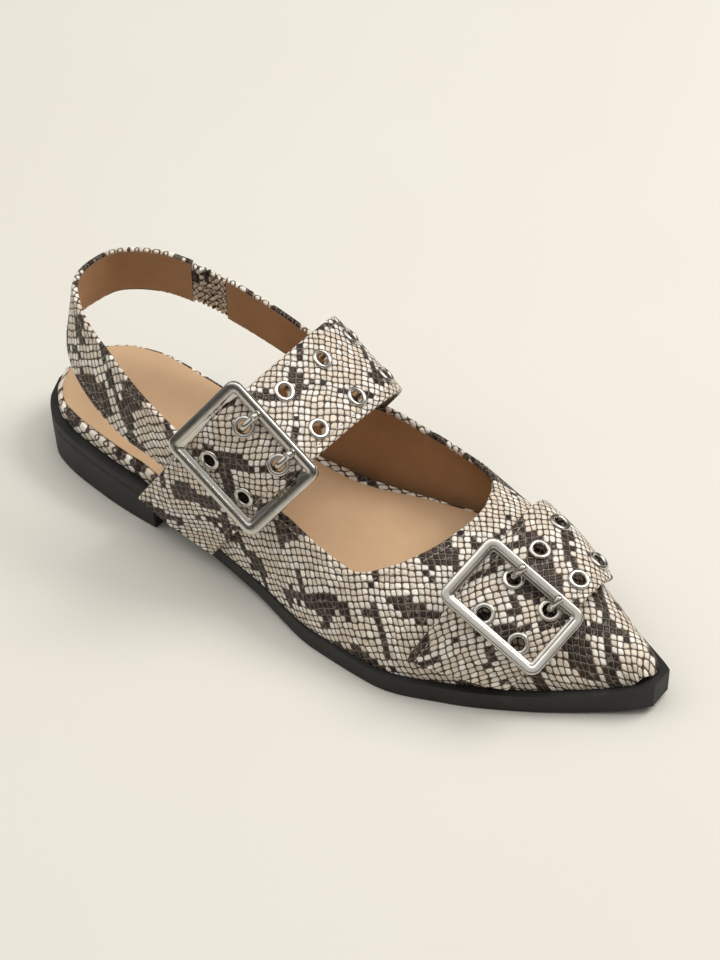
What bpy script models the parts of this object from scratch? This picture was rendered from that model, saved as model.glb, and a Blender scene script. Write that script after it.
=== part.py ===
# A right slingback flat: a pointed vamp, a wide buckled strap over the instep,
# a smaller buckled strap over the toes and a sling round the heel.
# +X runs to the toe, +Y to the medial side, +Z up, in metres. The floor is z = 0
# and the origin is the middle of the heel's resting face.

import math

import bmesh
import bpy
from mathutils import Vector

# Sole and heel
SOLE_LENGTH = 0.272
BALL_WIDTH = 0.0899
HEEL_HEIGHT = 0.0199
HEEL_LENGTH = 0.0715
HEEL_REST_SETBACK = 0.034
HEEL_TAPER = 0.0012
HEEL_SOLE = 0.0040
FOREFOOT_SOLE = 0.0075
TOE_SPRING = 0.0030
SOLE_BEVEL = 0.0007
FOOTBED_THICKNESS = 0.0061
FOOTBED_INSET = 0.0020
FOOTBED_ROUND = 0.0013
FOOTBED_CLEAR = 0.0013
FOOTBED_TOE_INSET = 0.0045
FOOTBED_END = 0.930
SOCK_THICKNESS = 0.0008
SOCK_INSET = 0.0022
SOCK_WAIST_INSET = 0.0032

# Upper
UPPER_WALL = 0.0018
VAMP_HEIGHT = 0.0343
RIM_WIDTH = 0.0030

# Instep strap: a band in a tilted plane, with room inside its buckle's short bars
INSTEP_BUCKLE_WIDTH = 0.0468
INSTEP_BUCKLE_LENGTH = 0.0385
INSTEP_BUCKLE_BAR = 0.0041
INSTEP_BUCKLE_SLIDE = 0.0005
STRAP_ROOM = 0.0019
INSTEP_WIDTH = INSTEP_BUCKLE_WIDTH - 2 * INSTEP_BUCKLE_BAR - 2 * STRAP_ROOM
INSTEP_THICKNESS = 0.0026
INSTEP_TILT = math.radians(33.5)
INSTEP_PLANE = 0.0643
INSTEP_SPAN_SHARE = 0.4004
INSTEP_SPAN = INSTEP_SPAN_SHARE * BALL_WIDTH
INSTEP_RISE = 0.1280
INSTEP_HEM_DROP = 0.0012
INSTEP_EYELET_SPREAD = 0.0180
INSTEP_METAL_SHIFT = 0.0013

# Toe strap: a flap laid over the vamp
TOE_THICKNESS = 0.0024
TOE_LIFT = 0.0042
TOE_METAL_SHIFT = -0.0023

# Sling
SLING_WIDTH = 0.0195
SLING_BUTT = 0.0004
SLING_RUN = 0.220
SLING_THICKNESS = 0.0024
ELASTIC_WIDTH = 0.0170
ELASTIC_THICKNESS = 0.0022

# Metal
EYELET_RADIUS = 0.0038
EYELET_HOLE_RADIUS = 0.0025
EYELET_TUBE_RADIUS = 0.0030
EYELET_FLANGE = 0.0006
EYELET_SIDES = 10
PRONG_RADIUS = 0.0010
PRONG_SIDES = 6
TOE_BUCKLE_WIDTH = 0.0440
TOE_BUCKLE_LENGTH = 0.0292
TOE_BUCKLE_BAR = 0.0034
BUCKLE_THICKNESS = 0.0025
BUCKLE_CORNER = 0.0040
BUCKLE_BEVEL = 0.0007
CENTRE_BAR_RADIUS = 0.0010
CENTRE_BAR_SIDES = 8

# Clearance between pieces that meet
GAP = 0.0003
SNUG = 0.0005


def table(columns, rows):
    return {name: [row[i] for row in rows] for i, name in enumerate(columns.split())}


# Half widths of the sole, as shares of BALL_WIDTH, along shares of SOLE_LENGTH
OUTLINE = table("at lateral medial", [
    (0.000, 0.060, 0.100),
    (0.020, 0.184, 0.201),
    (0.060, 0.288, 0.283),
    (0.120, 0.340, 0.319),
    (0.220, 0.378, 0.300),
    (0.340, 0.389, 0.268),
    (0.460, 0.442, 0.305),
    (0.580, 0.528, 0.394),
    (0.680, 0.545, 0.455),
    (0.780, 0.449, 0.425),
    (0.870, 0.303, 0.317),
    (0.940, 0.161, 0.206),
    (0.985, 0.062, 0.126),
    (1.000, 0.017, 0.093),
])

# The sole from the side: lift of its underside as a share of the heel's height
# under it, spring as a share of TOE_SPRING, body as a share of FOREFOOT_SOLE,
# and the rim outside the upper as a share of RIM_WIDTH
LEVELS = table("at lift spring body rim", [
    (0.000, 1.00, 0.00, 0.53, 0.10),
    (0.147, 1.00, 0.00, 0.53, 0.10),
    (0.228, 0.97, 0.00, 0.53, 0.10),
    (0.270, 0.76, 0.00, 0.55, 0.10),
    (0.309, 0.50, 0.00, 0.60, 0.10),
    (0.386, 0.31, 0.00, 0.76, 0.10),
    (0.456, 0.19, 0.00, 0.81, 0.20),
    (0.522, 0.06, 0.00, 0.92, 0.30),
    (0.580, 0.00, 0.00, 1.00, 0.40),
    (0.735, 0.00, 0.00, 1.00, 0.77),
    (0.838, 0.00, 0.00, 1.00, 1.00),
    (0.919, 0.00, 0.18, 1.12, 1.00),
    (0.963, 0.00, 0.50, 1.25, 1.00),
    (1.000, 0.00, 1.00, 1.38, 1.00),
])

# The last: the ridge's offset to the medial side and the swell of each wall as
# shares of BALL_WIDTH, its height as a share of VAMP_HEIGHT, and the fullness of
# each side's curve, where 2 is an ellipse
LAST = table("at ridge height lateral medial lateral_swell medial_swell", [
    (0.260, 0.080, 1.75, 2.2, 3.0, -0.020, 0.060),
    (0.390, 0.080, 1.75, 2.2, 3.0, -0.015, 0.070),
    (0.490, 0.085, 1.60, 2.1, 3.0, -0.010, 0.070),
    (0.565, 0.090, 1.38, 2.0, 3.0, 0.000, 0.060),
    (0.630, 0.095, 1.17, 2.0, 3.0, 0.000, 0.030),
    (0.695, 0.100, 1.00, 2.0, 2.8, 0.000, 0.010),
    (0.735, 0.095, 0.95, 2.0, 2.6, 0.000, 0.005),
    (0.800, 0.085, 0.85, 2.0, 2.4, 0.000, 0.000),
    (0.845, 0.075, 0.73, 2.0, 2.3, 0.000, 0.000),
    (0.882, 0.066, 0.62, 2.0, 2.2, 0.000, 0.000),
    (0.920, 0.056, 0.50, 2.0, 2.2, 0.000, 0.000),
    (0.950, 0.048, 0.39, 2.0, 2.2, 0.000, 0.000),
    (0.980, 0.041, 0.27, 2.2, 2.2, 0.000, 0.000),
    (0.993, 0.038, 0.17, 2.4, 2.4, 0.000, 0.000),
    (1.000, 0.038, 0.02, 2.4, 2.4, 0.000, 0.000),
])

# Fan lines of the upper, from the feather edge to the topline, in order from the
# lateral quarter round the toe to the medial quarter. Stations are shares of
# SOLE_LENGTH and turns are shares of the way over the last from the lateral edge
FANS = table("foot foot_turn top top_turn", [
    (0.272, 0.00, 0.272, 0.030),
    (0.320, 0.00, 0.320, 0.060),
    (0.380, 0.00, 0.380, 0.123),
    (0.435, 0.00, 0.435, 0.164),
    (0.490, 0.00, 0.489, 0.190),
    (0.570, 0.00, 0.563, 0.205),
    (0.655, 0.00, 0.618, 0.2155),
    (0.730, 0.00, 0.653, 0.275),
    (0.800, 0.00, 0.673, 0.325),
    (0.870, 0.00, 0.690, 0.385),
    (0.935, 0.00, 0.699, 0.440),
    (0.985, 0.00, 0.702, 0.485),
    (1.000, 0.50, 0.701, 0.530),
    (0.985, 1.00, 0.694, 0.580),
    (0.920, 1.00, 0.684, 0.640),
    (0.840, 1.00, 0.667, 0.695),
    (0.755, 1.00, 0.643, 0.730),
    (0.670, 1.00, 0.599, 0.778),
    (0.590, 1.00, 0.551, 0.796),
    (0.507, 1.00, 0.500, 0.797),
    (0.456, 1.00, 0.456, 0.822),
    (0.404, 1.00, 0.404, 0.879),
    (0.353, 1.00, 0.353, 0.943),
    (0.309, 1.00, 0.309, 0.975),
])

# The instep strap's line in its plane, from below the lateral hem over the foot
# to below the medial hem: out as a share of INSTEP_SPAN, up as one of INSTEP_RISE,
# and how much wider the band grows at its front edge
INSTEP_LINE = table("out up flare", [
    (-1.014, 0.250, 0.000),
    (-1.014, 0.430, 0.000),
    (-1.014, 0.640, 0.000),
    (-1.008, 0.825, 0.000),
    (-0.828, 0.972, 0.000),
    (-0.283, 1.000, 0.000),
    (0.319, 1.000, 0.020),
    (0.885, 0.955, 0.060),
    (1.170, 0.835, 0.085),
    (1.030, 0.665, 0.085),
    (0.860, 0.500, 0.085),
    (0.800, 0.300, 0.085),
])

# The toe strap's two edges over the vamp, stations and turns as for FANS, and
# how far it stands off the vamp as a share of TOE_LIFT
TOE_LINE = table("rear rear_turn front front_turn lift", [
    (0.725, 0.085, 0.850, 0.030, 0.10),
    (0.736, 0.160, 0.866, 0.130, 0.35),
    (0.748, 0.250, 0.876, 0.240, 0.90),
    (0.756, 0.350, 0.882, 0.350, 1.00),
    (0.757, 0.450, 0.885, 0.450, 1.00),
    (0.752, 0.550, 0.886, 0.550, 1.00),
    (0.747, 0.660, 0.884, 0.660, 0.80),
    (0.738, 0.770, 0.876, 0.780, 0.40),
    (0.722, 0.880, 0.862, 0.890, 0.15),
    (0.704, 0.975, 0.846, 0.975, 0.10),
])

# The sling's middle line: station, offset as a share of BALL_WIDTH, height as a
# share of INSTEP_RISE, width as one of SLING_WIDTH and the slope by which its lower
# edge leans out, from the lateral end round the heel to the medial end
SLING_LINE = table("at out up width lean", [
    (0.335, -0.3745, 0.334, 1.25, 0.00),
    (0.275, -0.356, 0.376, 1.28, 0.04),
    (0.217, -0.335, 0.408, 1.30, 0.20),
    (0.165, -0.295, 0.438, 1.28, 0.26),
    (0.114, -0.239, 0.473, 1.20, 0.28),
    (0.076, -0.160, 0.504, 1.10, 0.26),
    (0.053, -0.060, 0.523, 1.00, 0.12),
    (0.052, 0.060, 0.531, 1.00, 0.00),
    (0.070, 0.172, 0.541, 1.00, 0.00),
    (0.121, 0.267, 0.541, 1.00, 0.00),
    (0.184, 0.311, 0.527, 1.00, 0.00),
    (0.246, 0.334, 0.500, 1.00, 0.00),
    (0.313, 0.362, 0.453, 1.00, 0.00),
    (0.372, 0.387, 0.395, 1.00, 0.00),
])
SLING_CENTRE = 0.200
ELASTIC_START = 0.750
ELASTIC_END = 0.815

# Eyelet pairs of the instep strap, by the knots of INSTEP_LINE
INSTEP_EYELETS = (3, 4, 5, 6, 7, 8, 9)

# Eyelet pairs of the toe strap: for the rear and the front hole the place along
# TOE_LINE in knots and the share of the way over the strap's width
TOE_EYELETS = table("rear_place rear front_place front", [
    (2.19, 0.337, 1.81, 0.755),
    (3.27, 0.347, 3.02, 0.798),
    (4.33, 0.360, 4.43, 0.820),
    (5.65, 0.320, 5.95, 0.800),
    (8.25, 0.230, 7.80, 0.810),
])


def along(share):
    return share * SOLE_LENGTH - HEEL_REST_SETBACK


def secant(xs, ys, i):
    return (ys[i + 1] - ys[i]) / (xs[i + 1] - xs[i])


def knot_slope(xs, ys, i):
    # slope that keeps a curve through the knots free of overshoot
    if i == 0:
        return secant(xs, ys, 0)
    if i == len(xs) - 1:
        return secant(xs, ys, i - 1)
    before = secant(xs, ys, i - 1)
    after = secant(xs, ys, i)
    if before * after <= 0:
        return 0.0
    return 2 * before * after / (before + after)


def read(rows, column, at):
    xs = rows["at"]
    ys = rows[column]
    at = min(max(at, xs[0]), xs[-1])
    i = 0
    while i < len(xs) - 2 and at > xs[i + 1]:
        i += 1
    span = xs[i + 1] - xs[i]
    u = (at - xs[i]) / span
    rise = (1 + 2 * u) * (1 - u) ** 2 * ys[i] + u * u * (3 - 2 * u) * ys[i + 1]
    bend = u * (1 - u) ** 2 * knot_slope(xs, ys, i) - u * u * (1 - u) * knot_slope(xs, ys, i + 1)
    return rise + bend * span


def spline(values, position):
    # smooth curve through equally spaced values, position in steps from the first
    last_step = len(values) - 1
    position = min(max(position, 0.0), float(last_step))
    i = min(int(position), last_step - 1)
    u = position - i
    p0 = values[max(i - 1, 0)]
    p1 = values[i]
    p2 = values[i + 1]
    p3 = values[min(i + 2, last_step)]
    cubic = 3 * (p1 - p2) + p3 - p0
    square = 2 * p0 - 5 * p1 + 4 * p2 - p3
    return p1 + 0.5 * u * (p2 - p0 + u * (square + u * cubic))


def half_width(at, side):
    return read(OUTLINE, side, at) * BALL_WIDTH


def edge_point(at, side, inset):
    # a point of the sole's outline moved square inwards by the inset
    step = 0.002
    low = max(at - step, 0.0)
    high = min(at + step, 1.0)
    slope = (half_width(high, side) - half_width(low, side)) / ((high - low) * SOLE_LENGTH)
    shift = inset * (1 - 2 * at)
    reach = half_width(at, side) - inset * math.sqrt(1 + slope * slope) + shift * slope
    return along(at) + shift, reach if side == "medial" else -reach


def sole_bottom(at):
    lift = read(LEVELS, "lift", at) * (HEEL_HEIGHT - HEEL_SOLE)
    return lift + read(LEVELS, "spring", at) * TOE_SPRING


def sole_top(at):
    body = read(LEVELS, "body", at) * FOREFOOT_SOLE
    return sole_bottom(at) + body


# Stations of the sole's sections, one of them at the front of the heel
SOLE_STATIONS = sorted((0.0, 0.006, 0.018, 0.035, 0.06, 0.09, 0.13, 0.18, 0.228, 0.245, 0.28,
                        0.30, 0.33, 0.37, 0.41, 0.455, 0.50, 0.54, 0.58, 0.63, 0.68, 0.73, 0.78,
                        0.838, 0.88, 0.92, 0.955, 0.98, 1.0, HEEL_LENGTH / SOLE_LENGTH))


def floor_under(x):
    # the height of the sole's upper face at a place along the shoe, straight
    # between the sole's sections
    at = min(max((x + HEEL_REST_SETBACK) / SOLE_LENGTH, 0.0), 1.0)
    i = 0
    while i < len(SOLE_STATIONS) - 2 and at > SOLE_STATIONS[i + 1]:
        i += 1
    rear, front = SOLE_STATIONS[i], SOLE_STATIONS[i + 1]
    share = (at - rear) / (front - rear)
    return sole_top(rear) + (sole_top(front) - sole_top(rear)) * share


def rim(at):
    return read(LEVELS, "rim", at) * RIM_WIDTH


def on_last(at, turn, wall=0.0):
    # the upper's outer face, from the lateral feather edge (turn 0) to the medial,
    # or the face one wall inside it
    side = "lateral" if turn < 0.5 else "medial"
    angle = math.pi * (turn if turn < 0.5 else 1 - turn)
    x, edge = edge_point(at, side, rim(at) + wall)
    ridge = read(LAST, "ridge", at) * BALL_WIDTH
    swell = read(LAST, side + "_swell", at) * BALL_WIDTH * math.sin(2 * angle)
    power = 2 / read(LAST, side, at)
    full = read(LAST, "height", at) * VAMP_HEIGHT
    height = max(full - wall, full / 3)
    y = ridge + (edge - ridge) * max(math.cos(angle), 0.0) ** power
    y += swell if side == "medial" else -swell
    z = floor_under(x) + GAP + height * math.sin(angle) ** power
    return Vector((x, y, z))


def last_normal(at, turn):
    step = 0.002
    before = max(at - step, 0.0)
    after = min(at + step, 1.0)
    under = max(turn - step, 0.0)
    over = min(turn + step, 1.0)
    length_way = on_last(after, turn) - on_last(before, turn)
    cross_way = on_last(at, over) - on_last(at, under)
    return length_way.cross(cross_way).normalized()


def side_reach(x, z, side):
    # how far out the sole or the upper stands at a place and height
    at = (x + HEEL_REST_SETBACK) / SOLE_LENGTH
    reach = half_width(at, side)
    if z <= sole_top(at):
        return reach
    low, high = 0.0, 0.5
    for _ in range(24):
        middle = (low + high) / 2
        turn = middle if side == "lateral" else 1 - middle
        if on_last(at, turn).z < z:
            low = middle
        else:
            high = middle
    turn = low if side == "lateral" else 1 - low
    return abs(on_last(at, turn).y)


def make_material(name, colour, roughness, metallic=0.0):
    material = bpy.data.materials.new(name)
    material.use_nodes = True
    shader = material.node_tree.nodes["Principled BSDF"]
    shader.inputs["Base Color"].default_value = (*colour, 1.0)
    shader.inputs["Roughness"].default_value = roughness
    shader.inputs["Metallic"].default_value = metallic
    material.diffuse_color = (*colour, 1.0)
    return material


def finish_object(name, bm, material, smooth_angle=35):
    bmesh.ops.remove_doubles(bm, verts=bm.verts, dist=1e-6)
    bmesh.ops.recalc_face_normals(bm, faces=bm.faces)
    mesh = bpy.data.meshes.new(name)
    bm.to_mesh(mesh)
    bm.free()
    mesh.materials.append(material)
    mesh.shade_smooth()
    mesh.set_sharp_from_angle(angle=math.radians(smooth_angle))
    piece = bpy.data.objects.new(name, mesh)
    bpy.context.collection.objects.link(piece)
    return piece


def loft(name, loops, material):
    # a solid through closed loops of points, with flat ends
    bm = bmesh.new()
    rings = [[bm.verts.new(point) for point in loop] for loop in loops]
    count = len(loops[0])
    for first, second in zip(rings, rings[1:]):
        for i in range(count):
            j = (i + 1) % count
            bm.faces.new((first[i], first[j], second[j], second[i]))
    bm.faces.new(rings[0])
    bm.faces.new(reversed(rings[-1]))
    return finish_object(name, bm, material)


def thick_sheet(name, outer, inner, material):
    # a solid between two equal grids of points, closed round its edges
    bm = bmesh.new()
    top = [[bm.verts.new(point) for point in row] for row in outer]
    under = [[bm.verts.new(point) for point in row] for row in inner]
    rows = len(top)
    columns = len(top[0])
    for r in range(rows - 1):
        for c in range(columns - 1):
            bm.faces.new((top[r][c], top[r][c + 1], top[r + 1][c + 1], top[r + 1][c]))
            bm.faces.new((under[r][c], under[r + 1][c], under[r + 1][c + 1], under[r][c + 1]))
    for r in range(rows - 1):
        for c in (0, columns - 1):
            bm.faces.new((top[r][c], top[r + 1][c], under[r + 1][c], under[r][c]))
    for c in range(columns - 1):
        for r in (0, rows - 1):
            bm.faces.new((top[r][c], top[r][c + 1], under[r][c + 1], under[r][c]))
    return finish_object(name, bm, material)


def offset_grids(middle, thickness):
    # the two faces of a strap from the grid of its middle surface
    rows = len(middle)
    columns = len(middle[0])
    outer = []
    inner = []
    for r in range(rows):
        outer_row = []
        inner_row = []
        for c in range(columns):
            down = middle[min(r + 1, rows - 1)][c] - middle[max(r - 1, 0)][c]
            across = middle[r][min(c + 1, columns - 1)] - middle[r][max(c - 1, 0)]
            normal = across.cross(down).normalized()
            outer_row.append(middle[r][c] + normal * thickness / 2)
            inner_row.append(middle[r][c] - normal * thickness / 2)
        outer.append(outer_row)
        inner.append(inner_row)
    return outer, inner


def outsole_loop(at):
    low = sole_bottom(at)
    high = sole_top(at)
    loop = []
    for side in ("lateral", "medial"):
        bottom = [(SOLE_BEVEL, low), (0.0, low + SOLE_BEVEL), (0.0, high - SOLE_BEVEL), (SOLE_BEVEL, high)]
        if side == "medial":
            bottom.reverse()
        for inset, z in bottom:
            _, y = edge_point(at, side, inset)
            loop.append((along(at), y, z))
    return loop


def make_outsole(material):
    return loft("outsole", [outsole_loop(at) for at in SOLE_STATIONS], material)


def make_heel(material):
    end = HEEL_LENGTH / SOLE_LENGTH
    loops = []
    for at in [station for station in SOLE_STATIONS if station <= end]:
        top = sole_bottom(at) - GAP
        loop = []
        for side, insets in (("lateral", (HEEL_TAPER, 0.0)), ("medial", (0.0, HEEL_TAPER))):
            for inset in insets:
                x, y = edge_point(at, side, inset)
                if at == end:
                    x = along(at)
                loop.append((x, y, 0.0 if inset else top))
        loops.append(loop)
    return loft("heel", loops, material)


def bed_inset(at):
    # the footbed fills the sole at the heel and stands inside the upper ahead
    inside = rim(at) + UPPER_WALL + FOOTBED_CLEAR
    toe = max(0.0, at / FOOTBED_END - 0.7) / 0.3
    return max(FOOTBED_INSET, inside) + FOOTBED_TOE_INSET * toe * toe


def sock_inset(at, side):
    # the printed margin left round the sock, wider along the medial waist
    inset = bed_inset(at) + SOCK_INSET
    if side == "medial":
        inset += SOCK_WAIST_INSET * math.exp(-((at - 0.46) / 0.08) ** 2)
    return inset


def bed_stations():
    return [at * FOOTBED_END for at in SOLE_STATIONS]


def make_footbed(material):
    loops = []
    for at in bed_stations():
        loop = []
        for side in ("lateral", "medial"):
            high = FOOTBED_THICKNESS
            corners = [(0.0, 0.0), (0.0, high - FOOTBED_ROUND), (FOOTBED_ROUND, high)]
            if side == "medial":
                corners.reverse()
            for inset, height in corners:
                x, y = edge_point(at, side, bed_inset(at) + inset)
                loop.append((x, y, floor_under(x) + GAP + height))
        loops.append(loop)
    return loft("footbed", loops, material)


def make_sock(material):
    loops = []
    for at in bed_stations():
        x, _ = edge_point(at, "lateral", bed_inset(at) + SOCK_INSET)
        low = floor_under(x) + FOOTBED_THICKNESS + 2 * GAP
        high = low + SOCK_THICKNESS
        loop = []
        for side, levels in (("lateral", (low, high)), ("medial", (high, low))):
            _, y = edge_point(at, side, sock_inset(at, side))
            for z in levels:
                loop.append((x, y, z))
        loops.append(loop)
    return loft("sock", loops, material)


FANS_BETWEEN = 2
FAN_STEPS = 9


def fan_line(position):
    # the points of the last from the feather edge up to the topline
    foot = min(spline(FANS["foot"], position), 1.0)
    foot_turn = min(max(spline(FANS["foot_turn"], position), 0.0), 1.0)
    top = spline(FANS["top"], position)
    top_turn = spline(FANS["top_turn"], position)
    line = []
    for step in range(FAN_STEPS + 1):
        u = (step / FAN_STEPS) ** 1.15
        line.append((foot + (top - foot) * u, foot_turn + (top_turn - foot_turn) * u))
    return line


def make_upper(material):
    outer = []
    inner = []
    for i in range((len(FANS["foot"]) - 1) * FANS_BETWEEN + 1):
        line = fan_line(i / FANS_BETWEEN)
        outer.append([on_last(at, turn) for at, turn in line])
        inner.append([on_last(at, turn, UPPER_WALL) for at, turn in line])
    return thick_sheet("upper", outer, inner, material)


def instep_point(position, across):
    # across runs along the band's width, from its rear edge to its front edge
    out = spline(INSTEP_LINE["out"], position) * INSTEP_SPAN
    up = spline(INSTEP_LINE["up"], position) * INSTEP_RISE
    flare = spline(INSTEP_LINE["flare"], position) * (across + INSTEP_WIDTH / 2)
    wide = INSTEP_PLANE + across + flare
    x = wide * math.cos(INSTEP_TILT) + up * math.sin(INSTEP_TILT) - HEEL_REST_SETBACK
    z = up * math.cos(INSTEP_TILT) - wide * math.sin(INSTEP_TILT)
    return Vector((x, out, z))


def instep_surface(position, across):
    # the band, kept outside the upper and the sole where it comes down to them
    point = instep_point(position, across)
    side = "lateral" if point.y < 0 else "medial"
    if point.z < 1.5 * VAMP_HEIGHT:
        reach = side_reach(point.x, point.z, side) + SNUG + INSTEP_THICKNESS / 2
        point.y = math.copysign(max(abs(point.y), reach), point.y)
    return point


def hem_height(x):
    return floor_under(x) - INSTEP_HEM_DROP


def hem_position(across, start, stop):
    # where along its line the band reaches its hem, searching from start to stop
    for _ in range(24):
        middle = (start + stop) / 2
        point = instep_point(middle, across)
        if point.z < hem_height(point.x):
            start = middle
        else:
            stop = middle
    return stop


INSTEP_LEG_ROWS = 7
INSTEP_TOP_ROWS = 22
INSTEP_COLUMNS = 6
INSTEP_LEG_TOP = 3.0
INSTEP_LEG_TOP_MEDIAL = 8.0


def instep_positions(across):
    last_knot = len(INSTEP_LINE["out"]) - 1
    first = hem_position(across, 0.0, INSTEP_LEG_TOP)
    final = hem_position(across, float(last_knot), INSTEP_LEG_TOP_MEDIAL)
    rows = [first + (INSTEP_LEG_TOP - first) * i / INSTEP_LEG_ROWS for i in range(INSTEP_LEG_ROWS)]
    crown = INSTEP_LEG_TOP_MEDIAL - INSTEP_LEG_TOP
    rows += [INSTEP_LEG_TOP + crown * i / INSTEP_TOP_ROWS for i in range(INSTEP_TOP_ROWS)]
    leg = final - INSTEP_LEG_TOP_MEDIAL
    rows += [INSTEP_LEG_TOP_MEDIAL + leg * i / INSTEP_LEG_ROWS for i in range(INSTEP_LEG_ROWS + 1)]
    return rows


def make_instep_strap(material):
    columns = []
    for c in range(INSTEP_COLUMNS + 1):
        across = (c / INSTEP_COLUMNS - 0.5) * INSTEP_WIDTH
        columns.append([instep_surface(position, across) for position in instep_positions(across)])
    middle = [list(row) for row in zip(*columns)]
    outer, inner = offset_grids(middle, INSTEP_THICKNESS)
    return thick_sheet("instep_strap", outer, inner, material)


def toe_surface(position, across, lift=0.0):
    # across runs from 0 at the strap's rear edge to 1 at its front edge
    rear = spline(TOE_LINE["rear"], position)
    rear_turn = spline(TOE_LINE["rear_turn"], position)
    front = spline(TOE_LINE["front"], position)
    front_turn = spline(TOE_LINE["front_turn"], position)
    at = rear + (front - rear) * across
    turn = rear_turn + (front_turn - rear_turn) * across
    stand = SNUG + TOE_LIFT * spline(TOE_LINE["lift"], position) + TOE_THICKNESS / 2 + lift
    return on_last(at, turn) + last_normal(at, turn) * stand


def instep_face(position, across, lift):
    # across from 0 to 1 like the toe strap's, lifted square to the band
    wide = (across - 0.5) * INSTEP_WIDTH
    step = 0.02
    along_band = instep_surface(position + step, wide) - instep_surface(position - step, wide)
    over_band = instep_point(position, wide + step) - instep_point(position, wide - step)
    return instep_surface(position, wide) + over_band.cross(along_band).normalized() * lift


TOE_ROWS = 30
TOE_COLUMNS = 6


def make_toe_strap(material):
    last_knot = len(TOE_LINE["rear"]) - 1
    outer = []
    inner = []
    for r in range(TOE_ROWS + 1):
        position = last_knot * r / TOE_ROWS
        columns = [c / TOE_COLUMNS for c in range(TOE_COLUMNS + 1)]
        outer.append([toe_surface(position, c, TOE_THICKNESS / 2) for c in columns])
        inner.append([toe_surface(position, c, -TOE_THICKNESS / 2) for c in columns])
    return thick_sheet("toe_strap", outer, inner, material)


def sling_point(position, share, width):
    # share runs from the strap's upper edge at 0 to its lower edge at 1
    at = spline(SLING_LINE["at"], position)
    out = spline(SLING_LINE["out"], position)
    up = spline(SLING_LINE["up"], position)
    point = Vector((along(at), out * BALL_WIDTH, 0.0))
    drop = (share - 0.5) * spline(SLING_LINE["width"], position) * width
    away = (point - Vector((along(SLING_CENTRE), 0.0, 0.0))).normalized()
    point += away * drop * spline(SLING_LINE["lean"], position)
    point.z = up * INSTEP_RISE - drop
    return point


def make_sling_piece(name, start, stop, width, thickness, rows, material):
    last_knot = len(SLING_LINE["at"]) - 1
    middle = []
    for r in range(rows + 1):
        position = last_knot * (start + (stop - start) * r / rows)
        middle.append([sling_point(position, share, width) for share in (0.0, 0.5, 1.0)])
    outer, inner = offset_grids(middle, thickness)
    return thick_sheet(name, outer, inner, material)


def combine(piece, tool, operation):
    # joins the tool to the piece or cuts it out, and leaves one closed body
    modifier = piece.modifiers.new("combine", "BOOLEAN")
    modifier.operation = operation
    modifier.solver = "EXACT"
    modifier.object = tool
    graph = bpy.context.evaluated_depsgraph_get()
    mesh = bpy.data.meshes.new_from_object(piece.evaluated_get(graph))
    piece.modifiers.clear()
    piece.data = mesh
    mesh.name = piece.name
    bpy.data.objects.remove(tool, do_unlink=True)


def turned(bm, centre, axis, side, profile):
    # a closed ring turned about an axis, from (radius, height) corners
    across = (side - axis * side.dot(axis)).normalized()
    other = axis.cross(across)
    rings = []
    for i in range(EYELET_SIDES):
        angle = 2 * math.pi * (i + 0.5) / EYELET_SIDES
        out = across * math.cos(angle) + other * math.sin(angle)
        rings.append([bm.verts.new(centre + out * radius + axis * height) for radius, height in profile])
    count = len(profile)
    for i in range(EYELET_SIDES):
        near = rings[i]
        far = rings[(i + 1) % EYELET_SIDES]
        for k in range(count):
            m = (k + 1) % count
            bm.faces.new((near[k], far[k], far[m], near[m]))


def hole_frame(face, place, across):
    # centre on the outer face, the outward direction and one along the strap
    centre = face(place, across, 0.0)
    axis = (face(place, across, 0.001) - centre).normalized()
    side = face(place + 0.05, across, 0.0) - centre
    return centre, axis, side


def strap_holes(strap, face, thickness, holes):
    # cuts one hole for each eyelet
    bm = bmesh.new()
    for place, across in holes:
        centre, axis, side = hole_frame(face, place, across)
        side = (side - axis * side.dot(axis)).normalized()
        other = axis.cross(side)
        loops = []
        for height in (-thickness, thickness):
            loop = []
            for i in range(EYELET_SIDES):
                angle = 2 * math.pi * (i + 0.5) / EYELET_SIDES
                out = side * math.cos(angle) + other * math.sin(angle)
                loop.append(bm.verts.new(centre + out * (EYELET_TUBE_RADIUS + GAP) + axis * height))
            loops.append(loop)
        for i in range(EYELET_SIDES):
            k = (i + 1) % EYELET_SIDES
            bm.faces.new((loops[0][i], loops[0][k], loops[1][k], loops[1][i]))
        bm.faces.new(loops[0])
        bm.faces.new(reversed(loops[1]))
    cutter = finish_object("cutter", bm, strap.data.materials[0])
    combine(strap, cutter, "DIFFERENCE")
    strap.data.set_sharp_from_angle(angle=math.radians(35))


def flange_rise(face, thickness, place, across, centre, axis):
    # how far the strap's outer face rises above the hole's edge under the flange
    rise = 0.0
    for i in range(-4, 5):
        for k in range(-4, 5):
            point = face(place + i * 0.07, across + k * 0.03, thickness / 2) - centre
            height = point.dot(axis)
            if (point - axis * height).length <= EYELET_RADIUS + GAP:
                rise = max(rise, height - thickness / 2)
    return rise


def make_eyelets(label, face, thickness, holes, material):
    half = thickness / 2
    for number, (place, across) in enumerate(holes, 1):
        centre, axis, side = hole_frame(face, place, across)
        under = half + GAP + flange_rise(face, thickness, place, across, centre, axis)
        profile = [
            (EYELET_HOLE_RADIUS, -half),
            (EYELET_TUBE_RADIUS, -half),
            (EYELET_TUBE_RADIUS, under),
            (EYELET_RADIUS, under),
            (EYELET_RADIUS, under + EYELET_FLANGE / 2),
            (EYELET_HOLE_RADIUS, under + EYELET_FLANGE),
        ]
        bm = bmesh.new()
        turned(bm, centre, axis, side, profile)
        finish_object(f"{label}_eyelet_{number:02d}", bm, material)


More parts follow.
